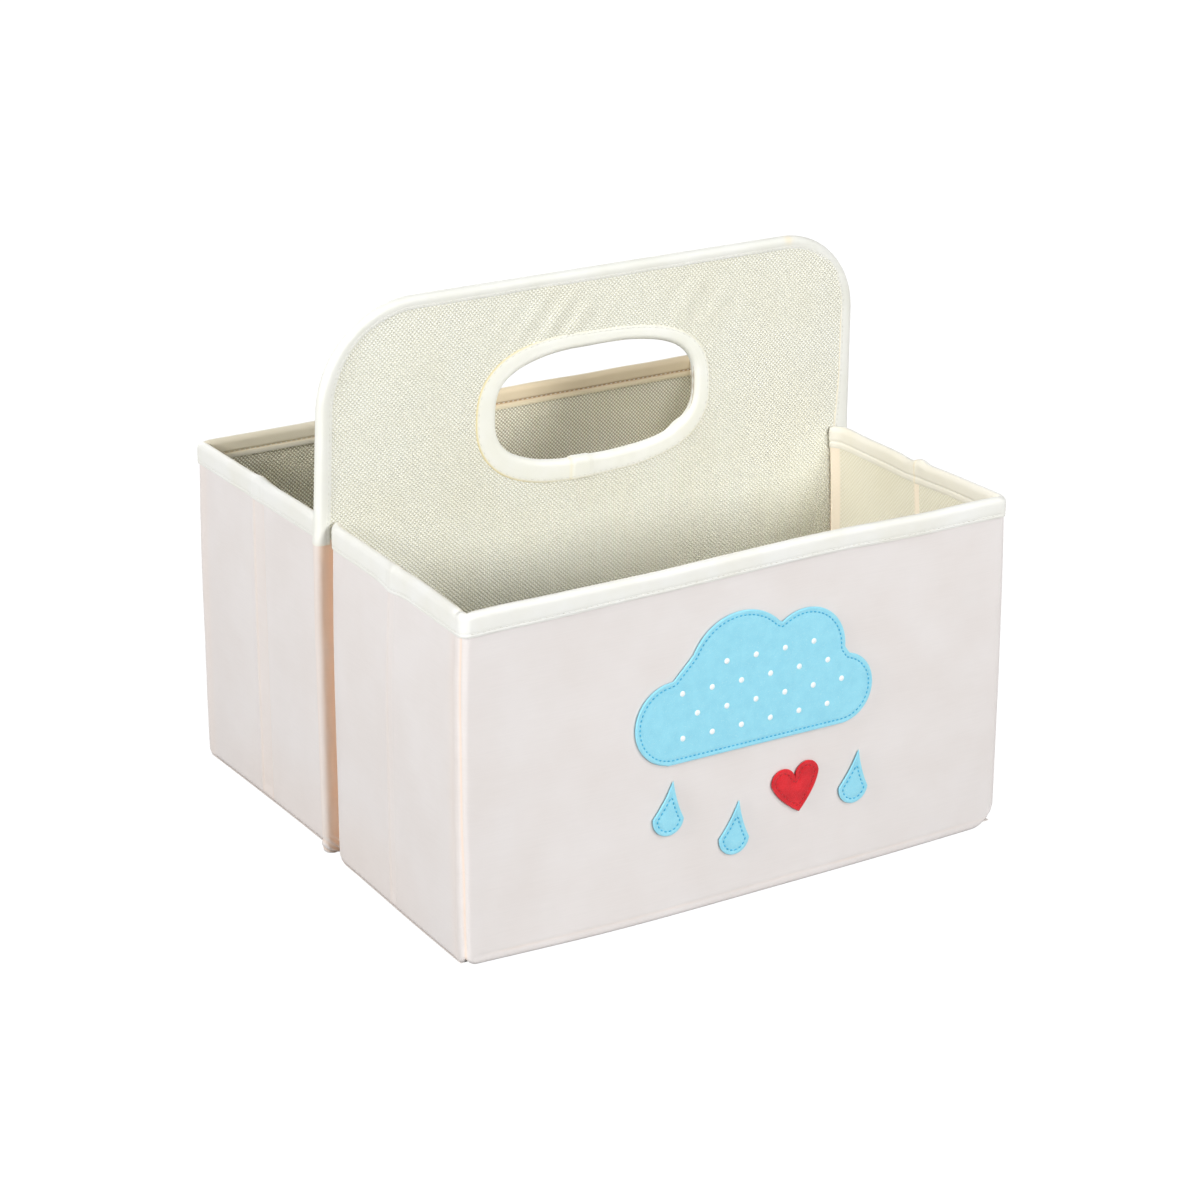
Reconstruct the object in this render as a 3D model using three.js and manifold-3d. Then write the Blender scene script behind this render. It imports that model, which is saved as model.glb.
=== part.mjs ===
// A folding fabric caddy: two open bins, front and rear, either side of a tall divider with a hand hole.
// Millimetres, +Z up, the floor at z = 0. X runs along the end panels, the front bin is towards -Y.
//
// Each bin folds flat against the divider. A side wall is two leaves: the centre leaf hangs on the
// divider, the end leaf carries the end panel's corner, and the upright crease between them goes inward.
// The floor is two halves: the inner one is hinged at the divider's foot, the outer one at the panel's,
// and the crease between them rises. Both bins, and the two sides of each, are mirror images.

import * as THREE from "three";
import { mergeVertices } from "three/addons/utils/BufferGeometryUtils.js";
import Module from "manifold-3d";

const wasm = await Module();
wasm.setup();

// Bins
const binLength = 296; // outside, between the side walls' outer faces
const binDepth = 139.5; // from the divider's middle plane to a panel's outer face
const wallHeight = 170;
const leftFootRadius = 3; // lower corners of the panels and of the end leaves, on the left
const rightFootRadius = 12; // and on the right
const hemHeight = 8; // outer cloth turned up inside the foot of a wall
const hemRounding = 1; // of the fold under the foot, on either side of a flat

// Divider
const dividerOverhang = 2.5; // past the side walls' outer faces, at either end
const dividerTaper = 1.2; // how far each side edge leans in from the rim to the upper corner
const dividerHeight = 272;
const leftShoulderRadius = 52; // upper corners
const rightShoulderRadius = 42;
const holeLength = 111; // hand hole, clear opening inside its binding
const holeHeight = 54;
const holeMiddle = 206; // height of the hand hole's middle
const holeFullness = 2.8; // 2 is an ellipse, more fills the corners
const holeSteps = 64;
const boardInset = 2.4; // from the divider's outline, and the hand hole's, to its board
const coverWidth = 5; // cloth over the divider's lower side edges
const coverBulge = 2.5; // how far that cloth stands past the divider's edge

// Layers
const wallBoard = 1.8;
const dividerBoard = 2.4;
const floorBoard = 2.4;
const cloth = 0.6;
const lining = 0.6;
const tape = 0.6; // binding tape, one layer
const tapeWidth = 11; // what shows of the tape on each face
const dividerTapeWidth = 7.5; // the same for the narrower tape along the divider's edge
const layerGap = 0.3; // between layers that lie on each other

// Folding clearances
const dividerFlap = 6; // soft cloth of a centre leaf between its hinge line and the divider
const sweepGap = 0.34; // least gap round a leaf's turning end
const foldGap = 0.5; // between folded layers, and between a floor half and its wall
const creaseGap = 0.4; // from a crease line to the cloth's edge on either side
const boardSetback = 2.2; // from a crease line to a wall board's edge
const floorGap = 0.9; // from the side wall's lining to a floor half's corner
const floorTaper = 0.91; // how much a floor half narrows on each side for each mm towards its crease
const ridgeGap = 0.8; // between the two floor halves at the crease
const floorLift = 0.5; // underside of the floor above the ground
const leafLift = 0.9; // foot of a side leaf above the ground, over the gusset's cloth
const gussetCloth = 0.5;
const gussetLift = 0.1;

// Felt pieces on the front panel
const felt = 1.2;
const cloudLength = 132;
const cloudHeight = 68;
const cloudFoot = 76; // height of the cloud's lower edge
const dropLength = 27;
const dropRadius = 8.5;
const heartWidth = 27;

// What follows from the sizes above
const wallHalf = wallBoard / 2 + layerGap + cloth;
const rimHalf = wallHalf + layerGap + tape;
const dividerHalf = dividerBoard / 2 + layerGap + lining;
const dividerRimHalf = dividerHalf + layerGap + tape;
const sideMiddle = binLength / 2 - wallHalf; // middle plane of a side wall
const panelMiddle = binDepth - wallHalf; // middle plane of an end panel
const panelInside = panelMiddle - wallHalf;
const dividerLength = binLength + 2 * dividerOverhang;
const layerTop = wallHeight - rimHalf; // top of board, cloth and lining under the rim binding

const hingeReach = Math.hypot(dividerFlap, wallHalf) + sweepGap;
const hingeDepth = dividerRimHalf + hingeReach; // hinge line of a centre leaf
const rimFlap = Math.sqrt((hingeReach - sweepGap) ** 2 - rimHalf ** 2);
const floorHalf = floorBoard / 2;
const floorHinge = floorHalf + foldGap; // from a wall's face to the floor's hinge line
const cornerReach = floorHinge + floorHalf + foldGap + wallHalf; // room for a folded floor half
const cornerDepth = panelInside - cornerReach; // hinge line of an end panel
const cornerSwing = cornerReach - (rimHalf - wallHalf) - sweepGap; // clear of the panel's rim binding
const cornerFlap = Math.sqrt(cornerSwing ** 2 - wallHalf ** 2);
const rimCornerFlap = Math.sqrt(cornerSwing ** 2 - rimHalf ** 2);
const creaseDepth = (hingeDepth + cornerDepth) / 2; // equal leaves, so the panel comes straight in

const innerFloorHinge = dividerHalf + floorHinge;
const outerFloorHinge = panelInside - floorHinge;
const floorReach = (outerFloorHinge - innerFloorHinge - ridgeGap) / 2;
const floorCorner = sideMiddle - wallHalf - floorGap; // half length of the floor at its hinge line
const feltProud = layerGap + felt;

const depthAxis = new THREE.Vector3(0, 1, 0);
const acrossAxis = new THREE.Vector3(1, 0, 0);
const upAxis = new THREE.Vector3(0, 0, 1);

const material = (color, roughness) => new THREE.MeshStandardMaterial({ color, roughness, metalness: 0 });
const finishes = {
  board: material("#b7a488", 0.9),
  cloth: material("#e9e4e1", 0.95),
  lining: material("#e0dcc9", 0.9),
  binding: material("#f3f3ef", 0.85),
  edge: material("#e2cdbd", 0.95),
  gusset: material("#dcd8c6", 0.95),
  blueFelt: material("#9bdcf0", 1),
  redFelt: material("#d6323a", 1),
};

// Solids and meshes

function solidOf(geometry) {
  const bare = geometry.clone();
  bare.deleteAttribute("normal");
  bare.deleteAttribute("uv");
  const merged = mergeVertices(bare, 1e-4);
  return new wasm.Manifold(
    new wasm.Mesh({
      numProp: 3,
      vertProperties: new Float32Array(merged.attributes.position.array),
      triVerts: new Uint32Array(merged.index.array),
    }),
  );
}

function geometryOf(solid) {
  const { vertProperties, triVerts } = solid.getMesh();
  const geometry = new THREE.BufferGeometry();
  geometry.setAttribute("position", new THREE.BufferAttribute(vertProperties, 3));
  geometry.setIndex(new THREE.BufferAttribute(triVerts, 1));
  geometry.computeVertexNormals();
  return geometry;
}

const common = (a, b) => geometryOf(solidOf(a).intersect(solidOf(b)));
const cut = (a, b) => geometryOf(solidOf(a).subtract(solidOf(b)));

function extruded(shape, depth, basis, offset, rounding = 0) {
  const geometry = new THREE.ExtrudeGeometry(shape, {
    depth: depth - 2 * rounding,
    curveSegments: 10,
    bevelEnabled: rounding > 0,
    bevelThickness: rounding,
    bevelSize: rounding,
    bevelOffset: -rounding,
    bevelSegments: 3,
  });
  geometry.translate(0, 0, rounding);
  geometry.applyMatrix4(new THREE.Matrix4().makeBasis(...basis));
  return geometry.translate(offset.x, offset.y, offset.z);
}

// A shape drawn in (y, z), swept from x0 to x1.
function alongX(shape, x0, x1, rounding) {
  return extruded(shape, x1 - x0, [depthAxis, upAxis, acrossAxis], new THREE.Vector3(x0, 0, 0), rounding);
}

// A shape drawn in (x, z), swept from y0 to y1.
function alongY(shape, y0, y1, rounding) {
  const basis = [acrossAxis, upAxis, depthAxis.clone().negate()];
  return extruded(shape, y1 - y0, basis, new THREE.Vector3(0, y1, 0), rounding);
}

// A shape drawn in (x, y), swept from z0 to z1.
function alongZ(shape, z0, z1, rounding) {
  return extruded(shape, z1 - z0, [acrossAxis, depthAxis, upAxis], new THREE.Vector3(0, 0, z0), rounding);
}

// Outlines

// A rectangle whose lower corners have their own radii.
function footedRectangle(left, right, bottom, top, leftRadius = 0, rightRadius = 0) {
  const shape = new THREE.Shape();
  shape.moveTo(left, top);
  shape.lineTo(left, bottom + leftRadius);
  if (leftRadius > 0) shape.absarc(left + leftRadius, bottom + leftRadius, leftRadius, Math.PI, 1.5 * Math.PI);
  shape.lineTo(right - rightRadius, bottom);
  if (rightRadius > 0) shape.absarc(right - rightRadius, bottom + rightRadius, rightRadius, -0.5 * Math.PI, 0);
  shape.lineTo(right, top);
  shape.closePath();
  return shape;
}

// Binding tape folded over an edge: a narrow arch, legs down both faces.
function tapeProfile(half, top) {
  const inside = half - tape;
  const middle = top - half;
  const foot = top - tapeWidth;
  const shape = new THREE.Shape();
  shape.moveTo(-half, foot);
  shape.lineTo(-half, middle);
  shape.absarc(0, middle, half, Math.PI, 0, true);
  shape.lineTo(half, foot);
  shape.lineTo(inside, foot);
  shape.lineTo(inside, middle);
  shape.absarc(0, middle, inside, 0, Math.PI, false);
  shape.lineTo(-inside, foot);
  shape.closePath();
  return shape;
}

// Outer cloth of a wall, turned under the board's foot and up inside as a hem. Outside is +.
function hemmedProfile(bottom) {
  const inside = wallHalf - cloth;
  const turn = wallHalf - hemRounding;
  const middle = bottom + hemRounding;
  const hemTop = bottom + hemHeight;
  const shape = new THREE.Shape();
  shape.moveTo(wallHalf, layerTop);
  shape.lineTo(wallHalf, middle);
  shape.absarc(turn, middle, hemRounding, 0, -Math.PI / 2, true);
  shape.absarc(-turn, middle, hemRounding, -Math.PI / 2, -Math.PI, true);
  shape.lineTo(-wallHalf, hemTop);
  shape.lineTo(-inside, hemTop);
  shape.lineTo(-inside, middle);
  shape.absarc(-turn, middle, hemRounding - cloth, -Math.PI, -Math.PI / 2, false);
  shape.absarc(turn, middle, hemRounding - cloth, -Math.PI / 2, 0, false);
  shape.lineTo(inside, layerTop);
  shape.closePath();
  return shape;
}

// The divider's front view, drawn in by inset all round but cut off at the given foot.
function dividerOutline(inset, foot) {
  const half = dividerLength / 2 - inset;
  const shoulder = half - dividerTaper;
  const top = dividerHeight - inset;
  const left = leftShoulderRadius - inset;
  const right = rightShoulderRadius - inset;
  const shape = new THREE.Shape();
  shape.moveTo(-half, wallHeight);
  shape.lineTo(-half, foot);
  shape.lineTo(half, foot);
  shape.lineTo(half, wallHeight);
  shape.absarc(shoulder - right, top - right, right, 0, Math.PI / 2);
  shape.absarc(-shoulder + left, top - left, left, Math.PI / 2, Math.PI);
  shape.closePath();
  return shape;
}

// The hand hole, an oval with full corners, grown by margin all round.
function holeOutline(margin, Kind = THREE.Shape) {
  const bend = (value) => Math.sign(value) * Math.abs(value) ** (2 / holeFullness);
  const shape = new Kind();
  for (let step = 0; step < holeSteps; step++) {
    const angle = (2 * Math.PI * step) / holeSteps;
    const x = (holeLength / 2 + margin) * bend(Math.cos(angle));
    const z = holeMiddle + (holeHeight / 2 + margin) * bend(Math.sin(angle));
    if (step === 0) shape.moveTo(x, z);
    else shape.lineTo(x, z);
  }
  shape.closePath();
  return shape;
}

// Walls

// The four layers of a wall stretch. sweep(shape, from, to) extrudes a wall section along the wall, and
// face(shape, from, to) extrudes a front view through the wall's thickness.
function wallLayers(name, middle, sweep, face, bottom, spans, radii) {
  const layers = {};
  const trimmed = (geometry, [from, to]) => {
    if (radii[0] + radii[1] === 0) return geometry;
    const view = footedRectangle(from, to, bottom, wallHeight, ...radii);
    return common(geometry, face(view, middle - wallHalf - 1, middle + wallHalf + 1));
  };
  const boardView = footedRectangle(...spans.board, bottom + cloth + layerGap, layerTop, ...radii);
  layers.board = face(boardView, middle - wallBoard / 2, middle + wallBoard / 2);
  layers.cloth = trimmed(sweep(hemmedProfile(bottom), ...spans.cloth), spans.cloth);
  const liningView = footedRectangle(...spans.cloth, bottom + hemHeight + layerGap, layerTop);
  const liningSolid = face(liningView, middle - wallHalf, middle - wallHalf + lining);
  layers.lining = trimmed(liningSolid, spans.cloth);
  layers.binding = sweep(tapeProfile(rimHalf, wallHeight), ...spans.binding);
  return Object.entries(layers).map(([layer, geometry]) => {
    const mesh = new THREE.Mesh(geometry, finishes[layer]);
    mesh.name = name + "_" + layer;
    return mesh;
  });
}

// One leaf of a side wall, in the quarter where x and y are both positive.
function sideLeaf(name, spans, radii) {
  const sweep = (shape, from, to) => alongY(shape, from, to).translate(sideMiddle, 0, 0);
  return wallLayers(name, sideMiddle, sweep, alongX, leafLift, spans, radii);
}

function sideWall(name, footRadius) {
  const centre = {
    board: [hingeDepth, creaseDepth - boardSetback],
    cloth: [hingeDepth - dividerFlap, creaseDepth - creaseGap],
    binding: [hingeDepth - rimFlap, creaseDepth - creaseGap],
  };
  const end = {
    board: [creaseDepth + boardSetback, cornerDepth + cornerFlap - layerGap],
    cloth: [creaseDepth + creaseGap, cornerDepth + cornerFlap],
    binding: [creaseDepth + creaseGap, cornerDepth + rimCornerFlap],
  };
  return [
    ...sideLeaf(name + "_centre", centre, [0, 0]),
    ...sideLeaf(name + "_end", end, [0, footRadius]),
  ];
}

function endPanel(name) {
  const half = binLength / 2;
  const edge = half - cloth - layerGap;
  const rimEdge = sideMiddle + rimHalf;
  const spans = { board: [-edge, edge], cloth: [-half, half], binding: [-rimEdge, rimEdge] };
  const sweep = (shape, from, to) => alongX(shape, from, to).translate(0, panelMiddle, 0);
  return wallLayers(name, panelMiddle, sweep, alongY, 0, spans, [leftFootRadius, rightFootRadius]);
}

// Floors

// A stiffened floor half. The side walls' leaves swing over it as it rises, so its ends taper.
function floorPiece(hinge, towardsCrease) {
  const near = hinge - towardsCrease * floorHalf;
  const far = hinge + towardsCrease * floorReach;
  const wide = floorCorner;
  const narrow = floorCorner - floorTaper * floorReach;
  const shape = new THREE.Shape();
  shape.moveTo(-wide, near);
  shape.lineTo(wide, near);
  shape.lineTo(wide, hinge);
  shape.lineTo(narrow, far);
  shape.lineTo(-narrow, far);
  shape.lineTo(-wide, hinge);
  shape.closePath();
  return alongZ(shape, floorLift, floorLift + floorBoard);
}

// Soft cloth in the triangle that the tapered floor halves leave at a side wall.
function gussetPiece() {
  const outer = sideMiddle + wallHalf - foldGap;
  const inner = floorCorner + foldGap;
  const near = dividerRimHalf + layerGap;
  const far = panelInside - foldGap;
  const middle = (innerFloorHinge + outerFloorHinge) / 2;
  const tip = inner - floorTaper * (middle - innerFloorHinge);
  const shape = new THREE.Shape();
  shape.moveTo(outer, near);
  shape.lineTo(outer, far);
  shape.lineTo(inner, far);
  shape.lineTo(inner, outerFloorHinge);
  shape.lineTo(tip, middle);
  shape.lineTo(inner, innerFloorHinge);
  shape.lineTo(inner, near);
  shape.closePath();
  return alongZ(shape, gussetLift, gussetLift + gussetCloth);
}

// Divider

const dividerPieces = {
  board() {
    const view = dividerOutline(boardInset, dividerHalf);
    view.holes.push(holeOutline(boardInset, THREE.Path));
    return alongY(view, -dividerBoard / 2, dividerBoard / 2);
  },

  // One cloth, folded under the board's foot and up both faces.
  lining() {
    const inside = dividerHalf - lining;
    const fold = new THREE.Shape();
    fold.moveTo(dividerHalf, dividerHeight);
    fold.lineTo(dividerHalf, dividerHalf);
    fold.absarc(0, dividerHalf, dividerHalf, 0, -Math.PI, true);
    fold.lineTo(-dividerHalf, dividerHeight);
    fold.lineTo(-inside, dividerHeight);
    fold.lineTo(-inside, dividerHalf);
    fold.absarc(0, dividerHalf, inside, -Math.PI, 0, false);
    fold.lineTo(inside, dividerHeight);
    fold.closePath();
    const folded = alongX(fold, -dividerLength / 2, dividerLength / 2);
    const view = dividerOutline(boardInset, -1);
    view.holes.push(holeOutline(boardInset, THREE.Path));
    return common(folded, alongY(view, -dividerHalf - 1, dividerHalf + 1));
  },

  // Tape folded over the edge, from the rim of one side wall up and round to the other.
  binding() {
    const foot = wallHeight - tapeWidth;
    const outline = dividerOutline(0, foot);
    const outside = alongY(outline, -dividerRimHalf, dividerRimHalf, dividerRimHalf / 2);
    const below = footedRectangle(-dividerLength, dividerLength, 0, foot + dividerRimHalf);
    const squared = cut(outside, alongY(below, -dividerRimHalf - 1, dividerRimHalf + 1));
    const window = alongY(dividerOutline(dividerTapeWidth, 0), -dividerRimHalf - 1, dividerRimHalf + 1);
    const pocketHalf = dividerRimHalf - tape;
    const pocket = alongY(dividerOutline(tape + layerGap, 0), -pocketHalf, pocketHalf);
    return cut(cut(squared, window), pocket);
  },

  // Tape folded over the edge of the hand hole.
  handle() {
    const rounding = dividerRimHalf / 2;
    const outside = alongY(holeRing(tapeWidth + rounding, 0), -dividerRimHalf, dividerRimHalf, rounding);
    const inBand = alongY(holeOutline(tapeWidth), -dividerRimHalf - 1, dividerRimHalf + 1);
    const pocketHalf = dividerRimHalf - tape;
    const pocket = alongY(holeRing(tapeWidth + 1, tape + layerGap), -pocketHalf, pocketHalf);
    return cut(common(outside, inBand), pocket);
  },

  // Cloth wrapped round a lower side edge, down to the ground.
  cover() {
    const inside = dividerRimHalf - cloth;
    const tip = dividerLength / 2 + coverBulge;
    const root = dividerLength / 2 - coverWidth;
    const section = new THREE.Shape();
    section.moveTo(root, -dividerRimHalf);
    section.lineTo(tip - dividerRimHalf, -dividerRimHalf);
    section.absarc(tip - dividerRimHalf, 0, dividerRimHalf, -Math.PI / 2, Math.PI / 2);
    section.lineTo(root, dividerRimHalf);
    section.lineTo(root, inside);
    section.lineTo(tip - dividerRimHalf, inside);
    section.absarc(tip - dividerRimHalf, 0, inside, Math.PI / 2, -Math.PI / 2, true);
    section.lineTo(root, -inside);
    section.closePath();
    return alongZ(section, 0, wallHeight - tapeWidth + dividerRimHalf - layerGap);
  },
};

// The band between two such ovals.
function holeRing(outer, inner) {
  const ring = holeOutline(outer);
  ring.holes.push(holeOutline(inner, THREE.Path));
  return ring;
}

// Felt

// A cloud: a flat foot and three swellings, the middle one the tallest.
function cloudOutline() {
  const half = cloudLength / 2;
  const foot = cloudHeight * 0.26;
  const side = cloudHeight * 0.33;
  const dome = cloudHeight * 0.42;
  const shape = new THREE.Shape();
  shape.moveTo(-half + foot, 0);
  shape.lineTo(half - foot, 0);
  shape.absarc(half - foot, foot, foot, -Math.PI / 2, 0.42 * Math.PI);
  shape.absarc(half * 0.42, cloudHeight - side * 1.25, side, -0.02 * Math.PI, 0.7 * Math.PI);
  shape.absarc(-half * 0.12, cloudHeight - dome, dome, 0.24 * Math.PI, 0.86 * Math.PI);
  shape.absarc(-half + foot * 1.2, foot * 1.15, foot * 1.15, 0.5 * Math.PI, 1.45 * Math.PI);
  shape.closePath();
  return shape;
}

// A raindrop, its point up.
function dropOutline() {
  const shape = new THREE.Shape();
  const tip = dropLength - dropRadius;
  shape.moveTo(0, tip);
  shape.quadraticCurveTo(-dropRadius * 0.35, tip * 0.45, -dropRadius, 0);
  shape.absarc(0, 0, dropRadius, Math.PI, 2 * Math.PI);
  shape.quadraticCurveTo(dropRadius * 0.35, tip * 0.45, 0, tip);
  return shape;
}

function heartOutline() {
  const lobe = heartWidth / 4;
  const shape = new THREE.Shape();
  shape.moveTo(0, -heartWidth * 0.5);
  shape.quadraticCurveTo(heartWidth * 0.42, -heartWidth * 0.16, 2 * lobe, lobe * 0.6);
  shape.absarc(lobe, lobe * 0.6, lobe, 0, Math.PI);
  shape.absarc(-lobe, lobe * 0.6, lobe, 0, Math.PI);
  shape.quadraticCurveTo(-heartWidth * 0.42, -heartWidth * 0.16, 0, -heartWidth * 0.5);
  return shape;
}

function feltPieces() {
  const near = -binDepth - feltProud;
  const far = -binDepth - layerGap;
  const pieces = [
    ["felt_cloud", cloudOutline(), [4, cloudFoot], 0, finishes.blueFelt],
    ["felt_drop_left", dropOutline(), [-44, 50], 0.16, finishes.blueFelt],
    ["felt_drop_middle", dropOutline(), [-8, 32], 0.16, finishes.blueFelt],
    ["felt_drop_right", dropOutline(), [60, 42], 0.16, finishes.blueFelt],
    ["felt_heart", heartOutline(), [27, 50], -0.12, finishes.redFelt],
  ];
  return pieces.map(([name, outline, [x, z], turn, finish]) => {
    const mesh = new THREE.Mesh(alongY(outline, near, far), finish);
    mesh.geometry.rotateY(turn);
    mesh.geometry.translate(x, 0, z);
    mesh.name = name;
    return mesh;
  });
}

// Assembly

const caddy = new THREE.Group();
// The origin is the middle of the foot of the whole: felt in front, the rim's tape at the rear.
caddy.position.y = (feltProud - (rimHalf - wallHalf)) / 2;

function add(group, name, geometry, finish) {
  const mesh = new THREE.Mesh(geometry, finish);
  mesh.name = name;
  group.add(mesh);
}

add(caddy, "divider_board", dividerPieces.board(), finishes.board);
add(caddy, "divider_lining", dividerPieces.lining(), finishes.lining);
add(caddy, "divider_binding", dividerPieces.binding(), finishes.binding);
add(caddy, "handle_binding", dividerPieces.handle(), finishes.binding);

for (const [side, mirrorX] of [["left", -1], ["right", 1]]) {
  const edge = new THREE.Group();
  edge.scale.x = mirrorX;
  add(edge, "divider_edge_cover_" + side, dividerPieces.cover(), finishes.edge);
  caddy.add(edge);
}

for (const [end, mirrorY] of [["front", -1], ["rear", 1]]) {
  const bin = new THREE.Group();
  bin.scale.y = mirrorY;
  bin.add(...endPanel(end + "_panel"));
  add(bin, end + "_floor_inner", floorPiece(innerFloorHinge, 1), finishes.lining);
  add(bin, end + "_floor_outer", floorPiece(outerFloorHinge, -1), finishes.lining);
  for (const [side, mirrorX, footRadius] of [["left", -1, leftFootRadius], ["right", 1, rightFootRadius]]) {
    const wall = new THREE.Group();
    wall.scale.x = mirrorX;
    wall.add(...sideWall(end + "_" + side, footRadius));
    add(wall, end + "_" + side + "_gusset", gussetPiece(), finishes.gusset);
    bin.add(wall);
  }
  caddy.add(bin);
}

caddy.add(...feltPieces());

export default caddy;
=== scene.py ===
from bisect import bisect_right
from math import atan2, cos, exp, hypot, pi, radians, sin, sqrt

import bmesh
import bpy
from mathutils import Matrix, Vector, noise


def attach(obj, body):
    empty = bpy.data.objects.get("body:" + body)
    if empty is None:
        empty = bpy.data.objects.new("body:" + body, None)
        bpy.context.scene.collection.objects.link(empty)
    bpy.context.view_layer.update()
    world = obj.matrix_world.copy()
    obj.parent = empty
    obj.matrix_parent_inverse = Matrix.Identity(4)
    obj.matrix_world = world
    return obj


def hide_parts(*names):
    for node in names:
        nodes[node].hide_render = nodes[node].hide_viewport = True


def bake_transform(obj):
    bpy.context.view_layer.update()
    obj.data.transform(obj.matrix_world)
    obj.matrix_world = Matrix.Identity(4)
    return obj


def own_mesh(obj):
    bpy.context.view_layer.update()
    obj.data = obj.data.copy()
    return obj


# A cloth storage caddy: two folding bins on a tall divider. Lengths are in mm until a mesh is made.
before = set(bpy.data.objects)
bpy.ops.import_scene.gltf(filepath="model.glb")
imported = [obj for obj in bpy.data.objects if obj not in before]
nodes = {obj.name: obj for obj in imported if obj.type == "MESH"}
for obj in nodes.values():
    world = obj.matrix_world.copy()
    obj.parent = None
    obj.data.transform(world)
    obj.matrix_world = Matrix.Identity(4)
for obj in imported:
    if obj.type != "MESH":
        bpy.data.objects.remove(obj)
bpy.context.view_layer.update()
mm = 0.001
middle = 0.3  # y of the divider's middle plane
print("frame loaded:", len(nodes), "nodes")


# Shader nodes in short

white = (1, 1, 1, 1)


def tone(red, green, blue):
    # the linear colour of a screen colour from 0 to 255
    def linear(value):
        value /= 255
        return value / 12.92 if value <= 0.04045 else ((value + 0.055) / 1.055) ** 2.4
    return (linear(red), linear(green), linear(blue), 1)


class Tree:
    # places and joins the nodes of one tree
    def __init__(self, tree):
        self.tree = tree

    def join(self, output, socket):
        self.tree.links.new(output, socket)

    def add(self, kind, values=None, **settings):
        node = self.tree.nodes.new("ShaderNode" + kind)
        for key, value in settings.items():
            setattr(node, key, value)
        for key, value in (values or {}).items():
            if isinstance(value, bpy.types.NodeSocket):
                self.join(value, node.inputs[key])
            else:
                node.inputs[key].default_value = value
        return node

    def sum(self, operation, a, b=None, c=None, clamp=False):
        values = {i: v for i, v in enumerate((a, b, c)) if v is not None}
        return self.add("Math", values, operation=operation, use_clamp=clamp).outputs[0]

    def blend(self, share, a, b, kind="MIX"):
        node = self.add("Mix", {0: share, 6: a, 7: b}, data_type="RGBA", blend_type=kind)
        return node.outputs[2]

    def place(self):
        return self.add("TexCoord").outputs["Object"]

    def tint(self):
        return self.add("Attribute", attribute_name="tint").outputs["Fac"]

    def pattern(self, group, values):
        # a pattern group laid on the flat cloth
        flat = self.add("UVMap", uv_map="weave").outputs[0]
        return self.add("Group", dict(values, Place=flat), node_tree=group)


# Camera and light

shot = {
    "place": (-765.11, -1290.27, 683.25),
    "turn": 30.8154,  # degrees to the right of +Y
    "down": 21.1935,
    "lens": 97.47,
    "sensor": 36,
    "near": 0.05,  # clip distances, m
    "far": 50,
}
lamps = {
    "key": {"place": (130, -2240, 860), "size": 620, "watts": 33.5},
    "high": {"place": (1000, -1600, 1750), "size": 900, "watts": 19.0},
    "side": {"place": (-2130, -250, 1100), "size": 700, "watts": 48.0},
    "back": {"place": (300, 2200, 950), "size": 800, "watts": 38.0},
}
lampTarget = (0, 0, 110)
domeStrength = 0.24


def makeCamera():
    data = bpy.data.cameras.new("camera")
    data.lens = shot["lens"]
    data.sensor_width = shot["sensor"]
    data.clip_start, data.clip_end = shot["near"], shot["far"]
    camera = bpy.data.objects.new("camera", data)
    bpy.context.scene.collection.objects.link(camera)
    camera.location = Vector(shot["place"]) * mm
    camera.rotation_euler = (radians(90 - shot["down"]), 0, -radians(shot["turn"]))
    bpy.context.scene.camera = camera


def makeLamp(name, plan):
    data = bpy.data.lights.new(name, "AREA")
    data.shape = "DISK"
    data.size = plan["size"] * mm
    data.energy = plan["watts"]
    lamp = bpy.data.objects.new(name, data)
    bpy.context.scene.collection.objects.link(lamp)
    lamp.location = Vector(plan["place"]) * mm
    direction = Vector(lampTarget) * mm - lamp.location
    lamp.rotation_euler = direction.to_track_quat("-Z", "Y").to_euler()


def makeWorld():
    # the dome lights the caddy; the camera, gloss and glass see plain white
    world = bpy.data.worlds.new("softBox")
    bpy.context.scene.world = world
    world.use_nodes = True
    world.node_tree.nodes.clear()
    t = Tree(world.node_tree)
    rays = t.add("LightPath")
    seen = t.sum("ADD", rays.outputs["Is Camera Ray"], rays.outputs["Is Glossy Ray"])
    seen = t.sum("ADD", seen, rays.outputs["Is Transmission Ray"], clamp=True)
    dome = t.add("Background", {"Color": white, "Strength": domeStrength})
    backdrop = t.add("Background", {"Color": white})
    mix = t.add("MixShader", {0: seen, 1: dome.outputs[0], 2: backdrop.outputs[0]})
    out = t.add("OutputWorld")
    t.join(mix.outputs[0], out.inputs[0])


bpy.context.scene.view_settings.view_transform = "Standard"
makeCamera()
makeWorld()
for name, plan in lamps.items():
    makeLamp(name + "Lamp", plan)
print("camera and light are in place")


# Finishes

def makeGroup(name, inputs, outputs):
    group = bpy.data.node_groups.new(name, "ShaderNodeTree")
    sockets = group.interface
    for label, kind, value in inputs:
        socket = sockets.new_socket(name=label, in_out="INPUT", socket_type="NodeSocket" + kind)
        if value is not None:
            socket.default_value = value
    for label, kind in outputs:
        sockets.new_socket(name=label, in_out="OUTPUT", socket_type="NodeSocket" + kind)
    return group, Tree(group), group.nodes.new("NodeGroupInput"), group.nodes.new("NodeGroupOutput")


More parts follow.
